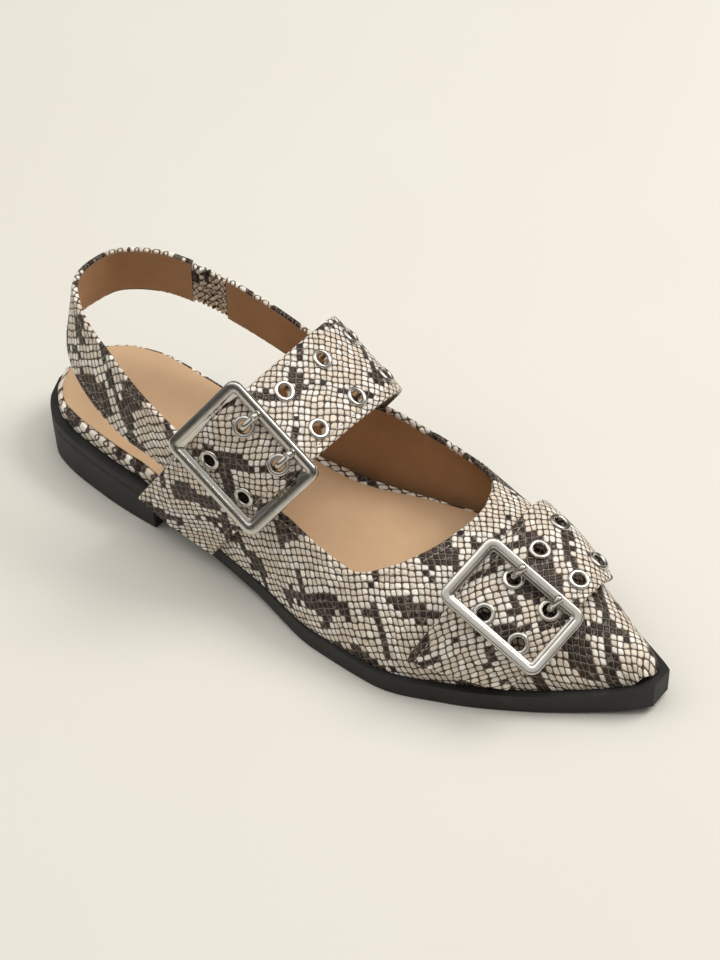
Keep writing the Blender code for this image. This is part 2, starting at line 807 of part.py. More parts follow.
def buckle_axes(face, thickness, holes, shift, slide, length, bar):
    # the frame's origin among the first four holes, its width, length and outward
    # directions and the height at which both long bars rest on the strap
    shares = [i / 8 for i in range(9)]
    rear_1, front_1, rear_2, front_2 = [face(place, share, 0.0) for place, share in holes[:4]]
    wide = (front_1 + front_2 - rear_1 - rear_2).normalized()
    origin = (rear_1 + front_1 + rear_2 + front_2) / 4 + wide * shift
    long_way = rear_2 + front_2 - rear_1 - front_1
    long_way = (long_way - wide * long_way.dot(wide)).normalized()
    origin += long_way * slide
    middle = sum(place for place, _ in holes[:4]) / 4
    spread = [middle + (i / 160 - 0.5) * 4.0 for i in range(161)]
    top = [face(place, share, thickness / 2) - origin for place in spread for share in shares]
    for place, share in holes[:6]:
        centre, axis, side = hole_frame(face, place, share)
        side = (side - axis * side.dot(axis)).normalized() * EYELET_RADIUS
        crown = centre - origin + axis * (thickness / 2 + GAP + EYELET_FLANGE)
        over = axis.cross(side)
        turns = [math.pi * i / 8 for i in range(16)]
        top += [crown + side * math.cos(turn) + over * math.sin(turn) for turn in turns]
    for _ in range(6):
        out = wide.cross(long_way)
        rests = []
        for sign in (-1, 1):
            inner = length / 2 - bar - GAP
            outer = length / 2 + GAP
            rests.append(max(p.dot(out) for p in top if inner <= sign * p.dot(long_way) <= outer))
        tilt = (rests[1] - rests[0]) / (length - bar)
        long_way = (long_way + out * tilt).normalized()
    out = wide.cross(long_way)
    under = [face(place, share, -thickness / 2) - origin for place in spread for share in shares]
    near = 2 * CENTRE_BAR_RADIUS
    low = min(p.dot(out) for p in under if abs(p.dot(long_way)) <= near)
    return origin, wide, long_way, out, max(rests) + SNUG, low - GAP - CENTRE_BAR_RADIUS


def rounded_loop(width, length, radius, steps=3):
    loop = []
    for quarter in range(4):
        sign_x = 1 if quarter in (0, 3) else -1
        sign_y = 1 if quarter in (0, 1) else -1
        for i in range(steps + 1):
            angle = math.pi / 2 * (quarter + i / steps)
            x = sign_x * (width / 2 - radius) + radius * math.cos(angle)
            y = sign_y * (length / 2 - radius) + radius * math.sin(angle)
            loop.append((x, y))
    return loop


def tube(name, path, radius, sides, material):
    # a round bar along a path, mitred where the path turns
    loops = []
    guide = None
    for i, point in enumerate(path):
        before = point - path[max(i - 1, 0)]
        after = path[min(i + 1, len(path) - 1)] - point
        heading = (before.normalized() + after.normalized()).normalized()
        if guide is None:
            guide = heading.orthogonal().normalized()
        ahead = after if after.length > 0 else before
        guide = (guide - ahead.normalized() * guide.dot(ahead.normalized())).normalized()
        other = ahead.normalized().cross(guide)
        loop = []
        for k in range(sides):
            angle = 2 * math.pi * (k + 0.5) / sides
            offset = (guide * math.cos(angle) + other * math.sin(angle)) * radius
            slide = offset.dot(heading) / ahead.normalized().dot(heading)
            loop.append(point + offset - ahead.normalized() * slide)
        loops.append(loop)
    return loft(name, loops, material)


def make_buckle(label, face, thickness, holes, shift, slide, size, material):
    width, length, bar = size
    frame = buckle_axes(face, thickness, holes, shift, slide, length, bar)
    origin, wide, long_way, out, base, bar_height = frame
    crown = base + BUCKLE_THICKNESS
    sections = [
        (0.0, base + BUCKLE_BEVEL),
        (0.0, crown - BUCKLE_BEVEL),
        (BUCKLE_BEVEL, crown),
        (bar * 0.55, crown),
        (bar, crown - 2 * BUCKLE_BEVEL),
        (bar, base),
        (BUCKLE_BEVEL, base),
    ]
    bm = bmesh.new()
    rings = []
    for inset, height in sections:
        corner = max(BUCKLE_CORNER - inset, 0.0012)
        loop = rounded_loop(width - 2 * inset, length - 2 * inset, corner)
        rings.append([bm.verts.new(origin + wide * x + long_way * y + out * height) for x, y in loop])
    count = len(rings[0])
    for k, ring in enumerate(rings):
        after = rings[(k + 1) % len(rings)]
        for i in range(count):
            m = (i + 1) % count
            bm.faces.new((ring[i], ring[m], after[m], after[i]))
    buckle = finish_object(f"{label}_buckle", bm, material)
    reach = width / 2 - bar / 2
    core = base + BUCKLE_THICKNESS / 2
    corners = [(-reach, core), (-reach, bar_height), (reach, bar_height), (reach, core)]
    path = [origin + wide * x + out * z for x, z in corners]
    combine(buckle, tube("bar", path, CENTRE_BAR_RADIUS, CENTRE_BAR_SIDES, material), "UNION")
    buckle.data.set_sharp_from_angle(angle=math.radians(35))
    return frame


def make_prongs(label, face, thickness, holes, frame, size, material):
    # each prong leaves the centre bar under the strap, comes up through its hole
    # and lies on the far long bar
    origin, wide, long_way, out, base, bar_height = frame
    _, length, bar = size
    for number, (place, share) in enumerate(holes[2:4], 1):
        centre, axis, _ = hole_frame(face, place, share)
        side = (centre - origin).dot(wide)

        def local(along_strap, height):
            return origin + wide * side + long_way * along_strap + out * height

        below = centre - axis * (thickness / 2 + PRONG_RADIUS + SNUG)
        above = centre + axis * (thickness / 2 + GAP + EYELET_FLANGE + PRONG_RADIUS + GAP)
        rest = base + BUCKLE_THICKNESS + PRONG_RADIUS + GAP / 2
        knots = [
            local(CENTRE_BAR_RADIUS + PRONG_RADIUS + GAP, bar_height),
            below,
            above,
            local(length / 2 - bar * 0.9, rest + PRONG_RADIUS / 2),
            local(length / 2 - bar * 0.35, rest),
        ]
        path = []
        steps = 3
        for i in range((len(knots) - 1) * steps + 1):
            path.append(Vector([spline([knot[k] for knot in knots], i / steps) for k in range(3)]))
        tube(f"{label}_prong_{number}", path, PRONG_RADIUS, PRONG_SIDES, material)


def scene_empty():
    for thing in list(bpy.data.objects):
        bpy.data.objects.remove(thing, do_unlink=True)


def main():
    scene_empty()
    snake = make_material("snake_print_leather", (0.42, 0.37, 0.30), 0.45)
    tan = make_material("tan_lining", (0.47, 0.31, 0.19), 0.6)
    black = make_material("black_rubber", (0.02, 0.02, 0.018), 0.65)
    steel = make_material("nickel", (0.72, 0.70, 0.66), 0.25, 1.0)

    make_outsole(black)
    make_heel(black)
    make_footbed(snake)
    make_sock(tan)
    make_upper(snake)
    instep_strap = make_instep_strap(snake)
    toe_strap = make_toe_strap(snake)
    butt = SLING_BUTT / SLING_RUN
    make_sling_piece("sling_strap", 0.0, ELASTIC_START - butt, SLING_WIDTH, SLING_THICKNESS, 24, snake)
    make_sling_piece("sling_elastic", ELASTIC_START, ELASTIC_END, ELASTIC_WIDTH, ELASTIC_THICKNESS, 3, snake)
    make_sling_piece("sling_front", ELASTIC_END + butt, 1.0, SLING_WIDTH, SLING_THICKNESS, 6, snake)

    centre = 0.5 + INSTEP_METAL_SHIFT / INSTEP_WIDTH
    spread = INSTEP_EYELET_SPREAD / INSTEP_WIDTH / 2
    pair = (centre - spread, centre + spread)
    holes = [(place, share) for place in INSTEP_EYELETS for share in pair]
    strap_holes(instep_strap, instep_face, INSTEP_THICKNESS, holes)
    make_eyelets("instep", instep_face, INSTEP_THICKNESS, holes, steel)
    size = (INSTEP_BUCKLE_WIDTH, INSTEP_BUCKLE_LENGTH, INSTEP_BUCKLE_BAR)
    slide = INSTEP_BUCKLE_SLIDE
    frame = make_buckle("instep", instep_face, INSTEP_THICKNESS, holes, 0.0, slide, size, steel)
    make_prongs("instep", instep_face, INSTEP_THICKNESS, holes, frame, size, steel)

    holes = []
    for row in zip(*TOE_EYELETS.values()):
        holes += [row[:2], row[2:]]
    strap_holes(toe_strap, toe_surface, TOE_THICKNESS, holes)
    make_eyelets("toe", toe_surface, TOE_THICKNESS, holes, steel)
    size = (TOE_BUCKLE_WIDTH, TOE_BUCKLE_LENGTH, TOE_BUCKLE_BAR)
    frame = make_buckle("toe", toe_surface, TOE_THICKNESS, holes, TOE_METAL_SHIFT, 0.0, size, steel)
    make_prongs("toe", toe_surface, TOE_THICKNESS, holes, frame, size, steel)


main()
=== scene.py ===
# Dresses the slingback flat: printed leather, lining, stitching, nickel and a studio
import math

import bmesh
import bpy
from mathutils import Matrix, Vector


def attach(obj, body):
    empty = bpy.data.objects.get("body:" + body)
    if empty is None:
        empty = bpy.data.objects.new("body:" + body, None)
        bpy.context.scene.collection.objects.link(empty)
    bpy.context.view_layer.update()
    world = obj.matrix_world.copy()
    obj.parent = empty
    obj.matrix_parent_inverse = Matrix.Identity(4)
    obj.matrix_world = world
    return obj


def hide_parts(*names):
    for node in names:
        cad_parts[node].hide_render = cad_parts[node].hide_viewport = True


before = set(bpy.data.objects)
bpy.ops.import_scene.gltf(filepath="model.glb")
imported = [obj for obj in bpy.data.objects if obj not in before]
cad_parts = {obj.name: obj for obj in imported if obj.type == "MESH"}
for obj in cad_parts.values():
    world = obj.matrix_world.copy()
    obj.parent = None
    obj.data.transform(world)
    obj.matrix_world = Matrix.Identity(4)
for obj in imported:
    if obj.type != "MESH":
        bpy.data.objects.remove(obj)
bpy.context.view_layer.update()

print("frame loaded:", len(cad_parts), "nodes")

gap = 0.0003  # clearance between pieces that meet
snug = 0.0005  # clearance of a strap or frame over what it lies on
stepOnLast = 0.002  # share of the last over which its slopes are read

shoe = {
    "length": 0.272, "ball": 0.0899, "setback": 0.034, "vampHeight": 0.0343, "wall": 0.0018,
    "heelHeight": 0.0199, "heelSole": 0.0040, "foreSole": 0.0075, "toeSpring": 0.0030, "rim": 0.0030,
}


def columns(names, rows):
    return {name: [row[i] for row in rows] for i, name in enumerate(names.split())}


# half widths of the sole as shares of the ball width
outline = columns("at lateral medial", [
    (0.000, 0.060, 0.100), (0.020, 0.184, 0.201), (0.060, 0.288, 0.283), (0.120, 0.340, 0.319),
    (0.220, 0.378, 0.300), (0.340, 0.389, 0.268), (0.460, 0.442, 0.305), (0.580, 0.528, 0.394),
    (0.680, 0.545, 0.455), (0.780, 0.449, 0.425), (0.870, 0.303, 0.317), (0.940, 0.161, 0.206),
    (0.985, 0.062, 0.126), (1.000, 0.017, 0.093),
])

# the sole from the side: lift under it, spring, body and rim, as shares
levels = columns("at lift spring body rim", [
    (0.000, 1.00, 0.00, 0.53, 0.10), (0.147, 1.00, 0.00, 0.53, 0.10), (0.228, 0.97, 0.00, 0.53, 0.10),
    (0.270, 0.76, 0.00, 0.55, 0.10), (0.309, 0.50, 0.00, 0.60, 0.10), (0.386, 0.31, 0.00, 0.76, 0.10),
    (0.456, 0.19, 0.00, 0.81, 0.20), (0.522, 0.06, 0.00, 0.92, 0.30), (0.580, 0.00, 0.00, 1.00, 0.40),
    (0.735, 0.00, 0.00, 1.00, 0.77), (0.838, 0.00, 0.00, 1.00, 1.00), (0.919, 0.00, 0.18, 1.12, 1.00),
    (0.963, 0.00, 0.50, 1.25, 1.00), (1.000, 0.00, 1.00, 1.38, 1.00),
])

# the last: ridge, height, fullness of each side and swell of each wall
lastForm = columns("at ridge height lateral medial lateralSwell medialSwell", [
    (0.260, 0.080, 1.75, 2.2, 3.0, -0.020, 0.060), (0.390, 0.080, 1.75, 2.2, 3.0, -0.015, 0.070),
    (0.490, 0.085, 1.60, 2.1, 3.0, -0.010, 0.070), (0.565, 0.090, 1.38, 2.0, 3.0, 0.000, 0.060),
    (0.630, 0.095, 1.17, 2.0, 3.0, 0.000, 0.030), (0.695, 0.100, 1.00, 2.0, 2.8, 0.000, 0.010),
    (0.735, 0.095, 0.95, 2.0, 2.6, 0.000, 0.005), (0.800, 0.085, 0.85, 2.0, 2.4, 0.000, 0.000),
    (0.845, 0.075, 0.73, 2.0, 2.3, 0.000, 0.000), (0.882, 0.066, 0.62, 2.0, 2.2, 0.000, 0.000),
    (0.920, 0.056, 0.50, 2.0, 2.2, 0.000, 0.000), (0.950, 0.048, 0.39, 2.0, 2.2, 0.000, 0.000),
    (0.980, 0.041, 0.27, 2.2, 2.2, 0.000, 0.000), (0.993, 0.038, 0.17, 2.4, 2.4, 0.000, 0.000),
    (1.000, 0.038, 0.02, 2.4, 2.4, 0.000, 0.000),
])


def along(share):
    return share * shoe["length"] - shoe["setback"]


def secant(xs, ys, i):
    return (ys[i + 1] - ys[i]) / (xs[i + 1] - xs[i])


def knotSlope(xs, ys, i):
    if i == 0:
        return secant(xs, ys, 0)
    if i == len(xs) - 1:
        return secant(xs, ys, i - 1)
    before, after = secant(xs, ys, i - 1), secant(xs, ys, i)
    return 0.0 if before * after <= 0 else 2 * before * after / (before + after)


def readCurve(rows, column, at):
    # smooth curve through a table, with no overshoot
    xs, ys = rows["at"], rows[column]
    at = min(max(at, xs[0]), xs[-1])
    i = 0
    while i < len(xs) - 2 and at > xs[i + 1]:
        i += 1
    span = xs[i + 1] - xs[i]
    u = (at - xs[i]) / span
    rise = (1 + 2 * u) * (1 - u) ** 2 * ys[i] + u * u * (3 - 2 * u) * ys[i + 1]
    bend = u * (1 - u) ** 2 * knotSlope(xs, ys, i) - u * u * (1 - u) * knotSlope(xs, ys, i + 1)
    return rise + span * bend


def spline(values, position):
    # smooth curve through equally spaced values
    last = len(values) - 1
    position = min(max(position, 0.0), float(last))
    i = min(int(position), last - 1)
    u = position - i
    p0, p1, p2, p3 = values[max(i - 1, 0)], values[i], values[i + 1], values[min(i + 2, last)]
    return p1 + 0.5 * u * (p2 - p0 + u * (2 * p0 - 5 * p1 + 4 * p2 - p3 + u * (3 * (p1 - p2) + p3 - p0)))


def evenly(start, stop, count):
    return [start + (stop - start) * i / count for i in range(count + 1)]


def halfWidth(at, side):
    return readCurve(outline, side, at) * shoe["ball"]


def edgePoint(at, side, inset):
    # a point of the sole's outline moved square inwards
    low, high = max(at - stepOnLast, 0.0), min(at + stepOnLast, 1.0)
    slope = (halfWidth(high, side) - halfWidth(low, side)) / ((high - low) * shoe["length"])
    shift = inset * (1 - 2 * at)
    reach = halfWidth(at, side) - inset * math.sqrt(1 + slope * slope) + shift * slope
    return along(at) + shift, reach if side == "medial" else -reach


def soleBottom(at):
    lift = readCurve(levels, "lift", at) * (shoe["heelHeight"] - shoe["heelSole"])
    return lift + readCurve(levels, "spring", at) * shoe["toeSpring"]


def soleTop(at):
    return soleBottom(at) + readCurve(levels, "body", at) * shoe["foreSole"]


def floorUnder(x):
    return soleTop(min(max((x + shoe["setback"]) / shoe["length"], 0.0), 1.0))


def rimAt(at):
    return readCurve(levels, "rim", at) * shoe["rim"]


def onLast(at, turn, wall=0.0):
    # the upper's outer face, lateral feather edge at turn 0, or one wall inside it
    side = "lateral" if turn < 0.5 else "medial"
    angle = math.pi * (turn if turn < 0.5 else 1 - turn)
    x, edge = edgePoint(at, side, rimAt(at) + wall)
    ridge = readCurve(lastForm, "ridge", at) * shoe["ball"]
    swell = readCurve(lastForm, side + "Swell", at) * shoe["ball"] * math.sin(2 * angle)
    power = 2 / readCurve(lastForm, side, at)
    full = readCurve(lastForm, "height", at) * shoe["vampHeight"]
    height = max(full - wall, full / 3)
    y = ridge + (edge - ridge) * max(math.cos(angle), 0.0) ** power
    y += swell if side == "medial" else -swell
    return Vector((x, y, floorUnder(x) + gap + height * math.sin(angle) ** power))


def lastNormal(at, turn):
    lengthWay = onLast(min(at + stepOnLast, 1.0), turn) - onLast(max(at - stepOnLast, 0.0), turn)
    crossWay = onLast(at, min(turn + stepOnLast, 1.0)) - onLast(at, max(turn - stepOnLast, 0.0))
    return lengthWay.cross(crossWay).normalized()


def sideReach(x, z, side):
    # how far out the sole or the upper stands at a place and height
    at = (x + shoe["setback"]) / shoe["length"]
    if z <= soleTop(at):
        return halfWidth(at, side)
    low, high = 0.0, 0.5
    for _ in range(20):
        middle = (low + high) / 2
        if onLast(at, middle if side == "lateral" else 1 - middle).z < z:
            low = middle
        else:
            high = middle
    return abs(onLast(at, low if side == "lateral" else 1 - low).y)


# mesh helpers

seamAngle = 38  # edges sharper than this many degrees stay crisp


def newObject(name, bm, materials, smoothAngle=seamAngle):
    bmesh.ops.recalc_face_normals(bm, faces=bm.faces)
    mesh = bpy.data.meshes.new(name)
    bm.to_mesh(mesh)
    bm.free()
    for material in materials:
        mesh.materials.append(material)
    mesh.shade_smooth()
    mesh.set_sharp_from_angle(angle=math.radians(smoothAngle))
    piece = bpy.data.objects.new(name, mesh)
    bpy.context.collection.objects.link(piece)
    return piece


def wrapLoops(name, loops, uvLoops, slots, materials):
    # a closed skin through closed loops, with a flat cap at both ends; slots gives
    # the material of each strip round the loop
    bm = bmesh.new()
    leather = bm.loops.layers.uv.new("leather")
    rings = [[bm.verts.new(point) for point in loop] for loop in loops]
    count = len(loops[0])
    for r in range(len(rings) - 1):
        for i in range(count):
            k = (i + 1) % count
            face = bm.faces.new((rings[r][i], rings[r][k], rings[r + 1][k], rings[r + 1][i]))
            face.material_index = slots[i]
            corners = (uvLoops[r][i], uvLoops[r][k], uvLoops[r + 1][k], uvLoops[r + 1][i])
            for corner, uv in zip(face.loops, corners):
                corner[leather].uv = uv
    for ring, uvs in ((rings[0], uvLoops[0]), (rings[-1], uvLoops[-1])):
        face = bm.faces.new(ring)
        face.material_index = slots[0]
        for corner, uv in zip(face.loops, uvs):
            corner[leather].uv = uv
    return newObject(name, bm, materials)


def dress(piece, nodes):
    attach(piece, "root")
    if nodes:
        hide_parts(*nodes)
    return piece


def combine(piece, tool, operation):
    modifier = piece.modifiers.new("combine", "BOOLEAN")
    modifier.operation = operation
    modifier.solver = "EXACT"
    modifier.object = tool
    graph = bpy.context.evaluated_depsgraph_get()
    mesh = bpy.data.meshes.new_from_object(piece.evaluated_get(graph))
    piece.modifiers.clear()
    piece.data = mesh
    bpy.data.objects.remove(tool, do_unlink=True)
    mesh.set_sharp_from_angle(angle=math.radians(seamAngle))


def spokes(first, second, count, start=0.0):
    # directions evenly round the axis that two square directions stand on
    turns = [2 * math.pi * (k + start) / count for k in range(count)]
    return [first * math.cos(turn) + second * math.sin(turn) for turn in turns]


def joinRings(bm, rings, closed=False):
    # faces between rings that follow each other; closed joins the last to the first
    for first, second in zip(rings, rings[1:] + rings[:1] if closed else rings[1:]):
        for k in range(len(first)):
            m = (k + 1) % len(first)
            bm.faces.new((first[k], first[m], second[m], second[k]))


def tubeLoops(path, radii, sides):
    # rings along a path, carried without twist
    loops = []
    guide = None
    for i, point in enumerate(path):
        heading = (path[min(i + 1, len(path) - 1)] - path[max(i - 1, 0)]).normalized()
        if guide is None:
            guide = heading.orthogonal().normalized()
        guide = (guide - heading * guide.dot(heading)).normalized()
        loops.append([point + out * radii[i] for out in spokes(guide, heading.cross(guide), sides, 0.5)])
    return loops


def addTube(bm, path, radii, sides):
    rings = [[bm.verts.new(point) for point in ring] for ring in tubeLoops(path, radii, sides)]
    joinRings(bm, rings)
    bm.faces.new(rings[0])
    bm.faces.new(list(reversed(rings[-1])))


# shader helpers

class Nodes:
    # short ways to place and link nodes in a tree
    def __init__(self, tree):
        self.tree = tree

    def add(self, kind, **settings):
        node = self.tree.nodes.new(kind)
        for key, value in settings.items():
            setattr(node, key, value)
        return node

    def link(self, source, target):
        self.tree.links.new(source, target)

    def fill(self, socket, value):
        if hasattr(value, "is_output"):
            self.link(value, socket)
        else:
            socket.default_value = value

    def math(self, operation, a, b=0.0):
        node = self.add("ShaderNodeMath", operation=operation)
        self.fill(node.inputs[0], a)
        self.fill(node.inputs[1], b)
        return node.outputs[0]

    def plus(self, a, b):
        return self.math("ADD", a, b)

    def minus(self, a, b):
        return self.math("SUBTRACT", a, b)

    def times(self, a, b):
        return self.math("MULTIPLY", a, b)

    def vector(self, operation, a, b=(0.0, 0.0, 0.0)):
        node = self.add("ShaderNodeVectorMath", operation=operation)
        self.fill(node.inputs[0], a)
        self.fill(node.inputs[1], b)
        return node.outputs[0]

    def step(self, value, low, high):
        # smooth rise from 0 at low to 1 at high
        node = self.add("ShaderNodeMapRange", interpolation_type="SMOOTHSTEP")
        for name, item in (("Value", value), ("From Min", low), ("From Max", high)):
            self.fill(node.inputs[name], item)
        return node.outputs[0]

    def mix(self, factor, a, b, blend="MIX"):
        node = self.add("ShaderNodeMix", data_type="RGBA", blend_type=blend)
        self.fill(node.inputs[0], factor)
        self.fill(node.inputs[6], a)
        self.fill(node.inputs[7], b)
        return node.outputs[2]

    def noise(self, vector, scale, detail=2.0, rough=0.5, dims="3D"):
        node = self.add("ShaderNodeTexNoise", noise_dimensions=dims)
        self.fill(node.inputs["Vector"], vector)
        self.fill(node.inputs["Scale"], scale)
        self.fill(node.inputs["Detail"], detail)
        self.fill(node.inputs["Roughness"], rough)
        return node.outputs[0]

    def combine(self, x, y, z=0.0):
        node = self.add("ShaderNodeCombineXYZ")
        for socket, value in zip(node.inputs, (x, y, z)):
            self.fill(socket, value)
        return node.outputs[0]

    def split(self, vector):
        node = self.add("ShaderNodeSeparateXYZ")
        self.link(vector, node.inputs[0])
        return node.outputs


def colour(r, g, b):
    return (r, g, b, 1.0)


def darker(base, r, g, b):
    return colour(base[0] * r, base[1] * g, base[2] * b)


def newGroup(name, inputs, outputs):
    group = bpy.data.node_groups.new(name, "ShaderNodeTree")
    kinds = {"vector": "NodeSocketVector", "value": "NodeSocketFloat", "colour": "NodeSocketColor"}
    for label, kind in inputs:
        group.interface.new_socket(name=label, in_out="INPUT", socket_type=kinds[kind])
    for label, kind in outputs:
        group.interface.new_socket(name=label, in_out="OUTPUT", socket_type=kinds[kind])
    given, result = group.nodes.new("NodeGroupInput"), group.nodes.new("NodeGroupOutput")
    return group, Nodes(group), given.outputs, result.inputs


def buildLeatherGrain():
    # fine pores and creases of a smooth leather
    group, n, given, result = newGroup(
        "leatherGrain",
        [("Vector", "vector"), ("Pore Scale", "value")],
        [("Height", "value"), ("Mottle", "value")])
    pores = n.add("ShaderNodeTexVoronoi", feature="DISTANCE_TO_EDGE")
    n.link(given["Vector"], pores.inputs["Vector"])
    n.link(given["Pore Scale"], pores.inputs["Scale"])
    fine = n.noise(given["Vector"], 900.0, 3.0, 0.6)
    n.link(n.plus(n.step(pores.outputs[0], 0.0, 0.25), n.times(fine, 0.7)), result["Height"])
    n.link(n.noise(given["Vector"], 45.0, 4.0, 0.6), result["Mottle"])
    return group


scaleForm = {
    "randomness": 0.24, "wander": 0.0030, "wanderScale": 55.0,  # how evenly the scales lie
    "netBend": 1.1, "netBendScale": 32.0, "jitter": 0.07,  # how the dark chains run
    "breakScale": 60.0, "breakAt": 0.36, "breakGain": 3.6,  # where they swell and break off
    "patchScale": 38.0, "patchFrom": (3.1, 1.7, 0.0), "patchAbove": 0.665,  # dark patches off the chains
    "paleBeside": (0.22, 0.05), "paleAbove": 0.86, "paleShare": 0.9,  # pale scales, by a chain or alone
    "edge": (0.03, 0.14), "corner": (0.545, 0.43), "darkEdge": (0.0, 0.06),  # grooves between scales
    "soilScale": 420.0, "soilOnDark": (0.52, 0.75), "soilOnPale": (0.45, 0.8),  # rubbed and dusty print
    "domeEdge": (0.0, 0.30), "domeMiddle": (0.85, 0.25), "grainScale": 1500.0,  # relief of a scale
}


def buildSnakeSkin():
    # printed and embossed scales; whole scales take the colour of the blotch at
    # their own middle
    group, n, given, result = newGroup(
        "snakeSkin",
        [("Vector", "vector"), ("Scale Length", "value"), ("Scale Width", "value"),
         ("Net Length", "value"), ("Net Width", "value"), ("Dark Share", "value"),
         ("Light", "colour"), ("Beige", "colour"), ("Dark", "colour"), ("Line", "colour")],
        [("Color", "colour"), ("Height", "value"), ("Roughness", "value")])
    sheet = given["Vector"]
    drift = n.add("ShaderNodeTexNoise", noise_dimensions="2D")
    n.link(sheet, drift.inputs["Vector"])
    drift.inputs["Scale"].default_value = scaleForm["wanderScale"]
    drift.inputs["Detail"].default_value = 1.0
    wander = n.vector("SCALE", n.vector("SUBTRACT", drift.outputs["Color"], (0.5, 0.5, 0.5)))
    wander.node.inputs["Scale"].default_value = scaleForm["wander"]
    moved = n.vector("ADD", sheet, wander)
    parts = n.split(moved)
    u = n.math("DIVIDE", parts[0], given["Scale Length"])
    v = n.math("DIVIDE", parts[1], given["Scale Width"])
    lattice = n.combine(n.plus(u, v), n.minus(v, u))
    cells = n.add("ShaderNodeTexVoronoi", voronoi_dimensions="2D", feature="F1")
    edges = n.add("ShaderNodeTexVoronoi", voronoi_dimensions="2D", feature="DISTANCE_TO_EDGE")
    for node in (cells, edges):
        n.link(lattice, node.inputs["Vector"])
        node.inputs["Scale"].default_value = 1.0
        node.inputs["Randomness"].default_value = scaleForm["randomness"]
    middle = n.split(cells.outputs["Position"])
    cu = n.times(n.minus(middle[0], middle[1]), n.times(given["Scale Length"], 0.5))
    cv = n.times(n.plus(middle[0], middle[1]), n.times(given["Scale Width"], 0.5))
    centre = n.combine(cu, cv)
    chance = n.add("ShaderNodeTexWhiteNoise", noise_dimensions="2D")
    n.link(cells.outputs["Position"], chance.inputs["Vector"])
    luck = chance.outputs["Value"]

    bend = n.add("ShaderNodeTexNoise", noise_dimensions="2D")
    n.link(centre, bend.inputs["Vector"])
    bend.inputs["Scale"].default_value = scaleForm["netBendScale"]
    bend.inputs["Detail"].default_value = 1.0
    bent = n.split(bend.outputs["Color"])
    netU = n.plus(n.math("DIVIDE", cu, given["Net Length"]), n.times(bent[0], scaleForm["netBend"]))
    netV = n.plus(n.math("DIVIDE", cv, given["Net Width"]), n.times(bent[1], scaleForm["netBend"]))
    a = n.math("PINGPONG", netU, 1.0)
    b = n.math("PINGPONG", netV, 1.0)
    net = n.math("ABSOLUTE", n.minus(a, b))
    broken = n.noise(centre, scaleForm["breakScale"], 2.0, 0.6, "2D")
    patches = n.vector("ADD", centre, scaleForm["patchFrom"])
    blotch = n.noise(patches, scaleForm["patchScale"], 1.0, 0.5, "2D")
    spread = n.times(n.minus(broken, scaleForm["breakAt"]), scaleForm["breakGain"])
    reach = n.times(given["Dark Share"], n.math("MAXIMUM", spread, 0.0))
    jitter = n.times(n.minus(luck, 0.5), scaleForm["jitter"])
    onNet = n.math("LESS_THAN", n.plus(net, jitter), reach)
    patchy = n.math("GREATER_THAN", n.plus(blotch, n.times(jitter, 0.5)), scaleForm["patchAbove"])
    dark = n.math("MAXIMUM", onNet, patchy)
    beside = n.step(n.minus(net, reach), *scaleForm["paleBeside"])
    lucky = n.math("GREATER_THAN", luck, scaleForm["paleAbove"])
    pale = n.times(n.math("MAXIMUM", beside, lucky), scaleForm["paleShare"])

    body = n.mix(pale, given["Beige"], given["Light"])
    shade = n.plus(0.86, n.times(luck, 0.22))
    body = n.mix(1.0, body, n.combine(shade, shade, shade), "MULTIPLY")
    tint = n.mix(n.times(luck, 0.5), given["Dark"], given["Line"])
    soil = n.noise(moved, scaleForm["soilScale"], 3.0, 0.7, "2D")
    tint = n.mix(n.times(n.step(soil, *scaleForm["soilOnDark"]), 0.25), tint, given["Beige"])
    body = n.mix(n.times(n.step(soil, *scaleForm["soilOnPale"]), 0.35), body, given["Line"])
    body = n.mix(dark, body, tint)
    side, fromMiddle = edges.outputs[0], cells.outputs["Distance"]
    whole = n.times(n.step(side, *scaleForm["edge"]), n.step(fromMiddle, *scaleForm["corner"]))
    thin = n.step(side, *scaleForm["darkEdge"])
    whole = n.plus(n.times(whole, n.minus(1.0, dark)), n.times(thin, dark))
    groove = n.mix(n.times(dark, 0.30), given["Line"], given["Beige"])
    n.link(n.mix(whole, groove, body), result["Color"])

    dome = n.times(n.step(side, *scaleForm["domeEdge"]), n.step(fromMiddle, *scaleForm["domeMiddle"]))
    grain = n.noise(moved, scaleForm["grainScale"], 3.0, 0.6, "2D")
    height = n.plus(dome, n.times(grain, 0.18))
    n.link(height, result["Height"])
    rough = n.minus(0.56, n.times(dome, 0.16))
    n.link(n.plus(rough, n.times(soil, 0.10)), result["Roughness"])
    return group


def buildFineScratches():
    # hairlines and smears of handled metal
    group, n, given, result = newGroup(
        "fineScratches", [("Vector", "vector")], [("Height", "value"), ("Smear", "value")])
    stretched = n.vector("MULTIPLY", given["Vector"], (1.0, 0.12, 0.6))
    n.link(n.noise(stretched, 420.0, 1.0, 0.4), result["Height"])
    n.link(n.noise(given["Vector"], 160.0, 4.0, 0.6), result["Smear"])
    return group


leatherGrain = buildLeatherGrain()
snakeSkin = buildSnakeSkin()
fineScratches = buildFineScratches()


def newMaterial(name):
    material = bpy.data.materials.new(name)
    material.use_nodes = True
    return material, Nodes(material.node_tree), material.node_tree.nodes["Principled BSDF"]


def addBump(n, shader, height, distance):
    bump = n.add("ShaderNodeBump")
    bump.inputs["Strength"].default_value = 1.0
    bump.inputs["Distance"].default_value = distance
    n.link(height, bump.inputs["Height"])
    n.link(bump.outputs[0], shader.inputs["Normal"])


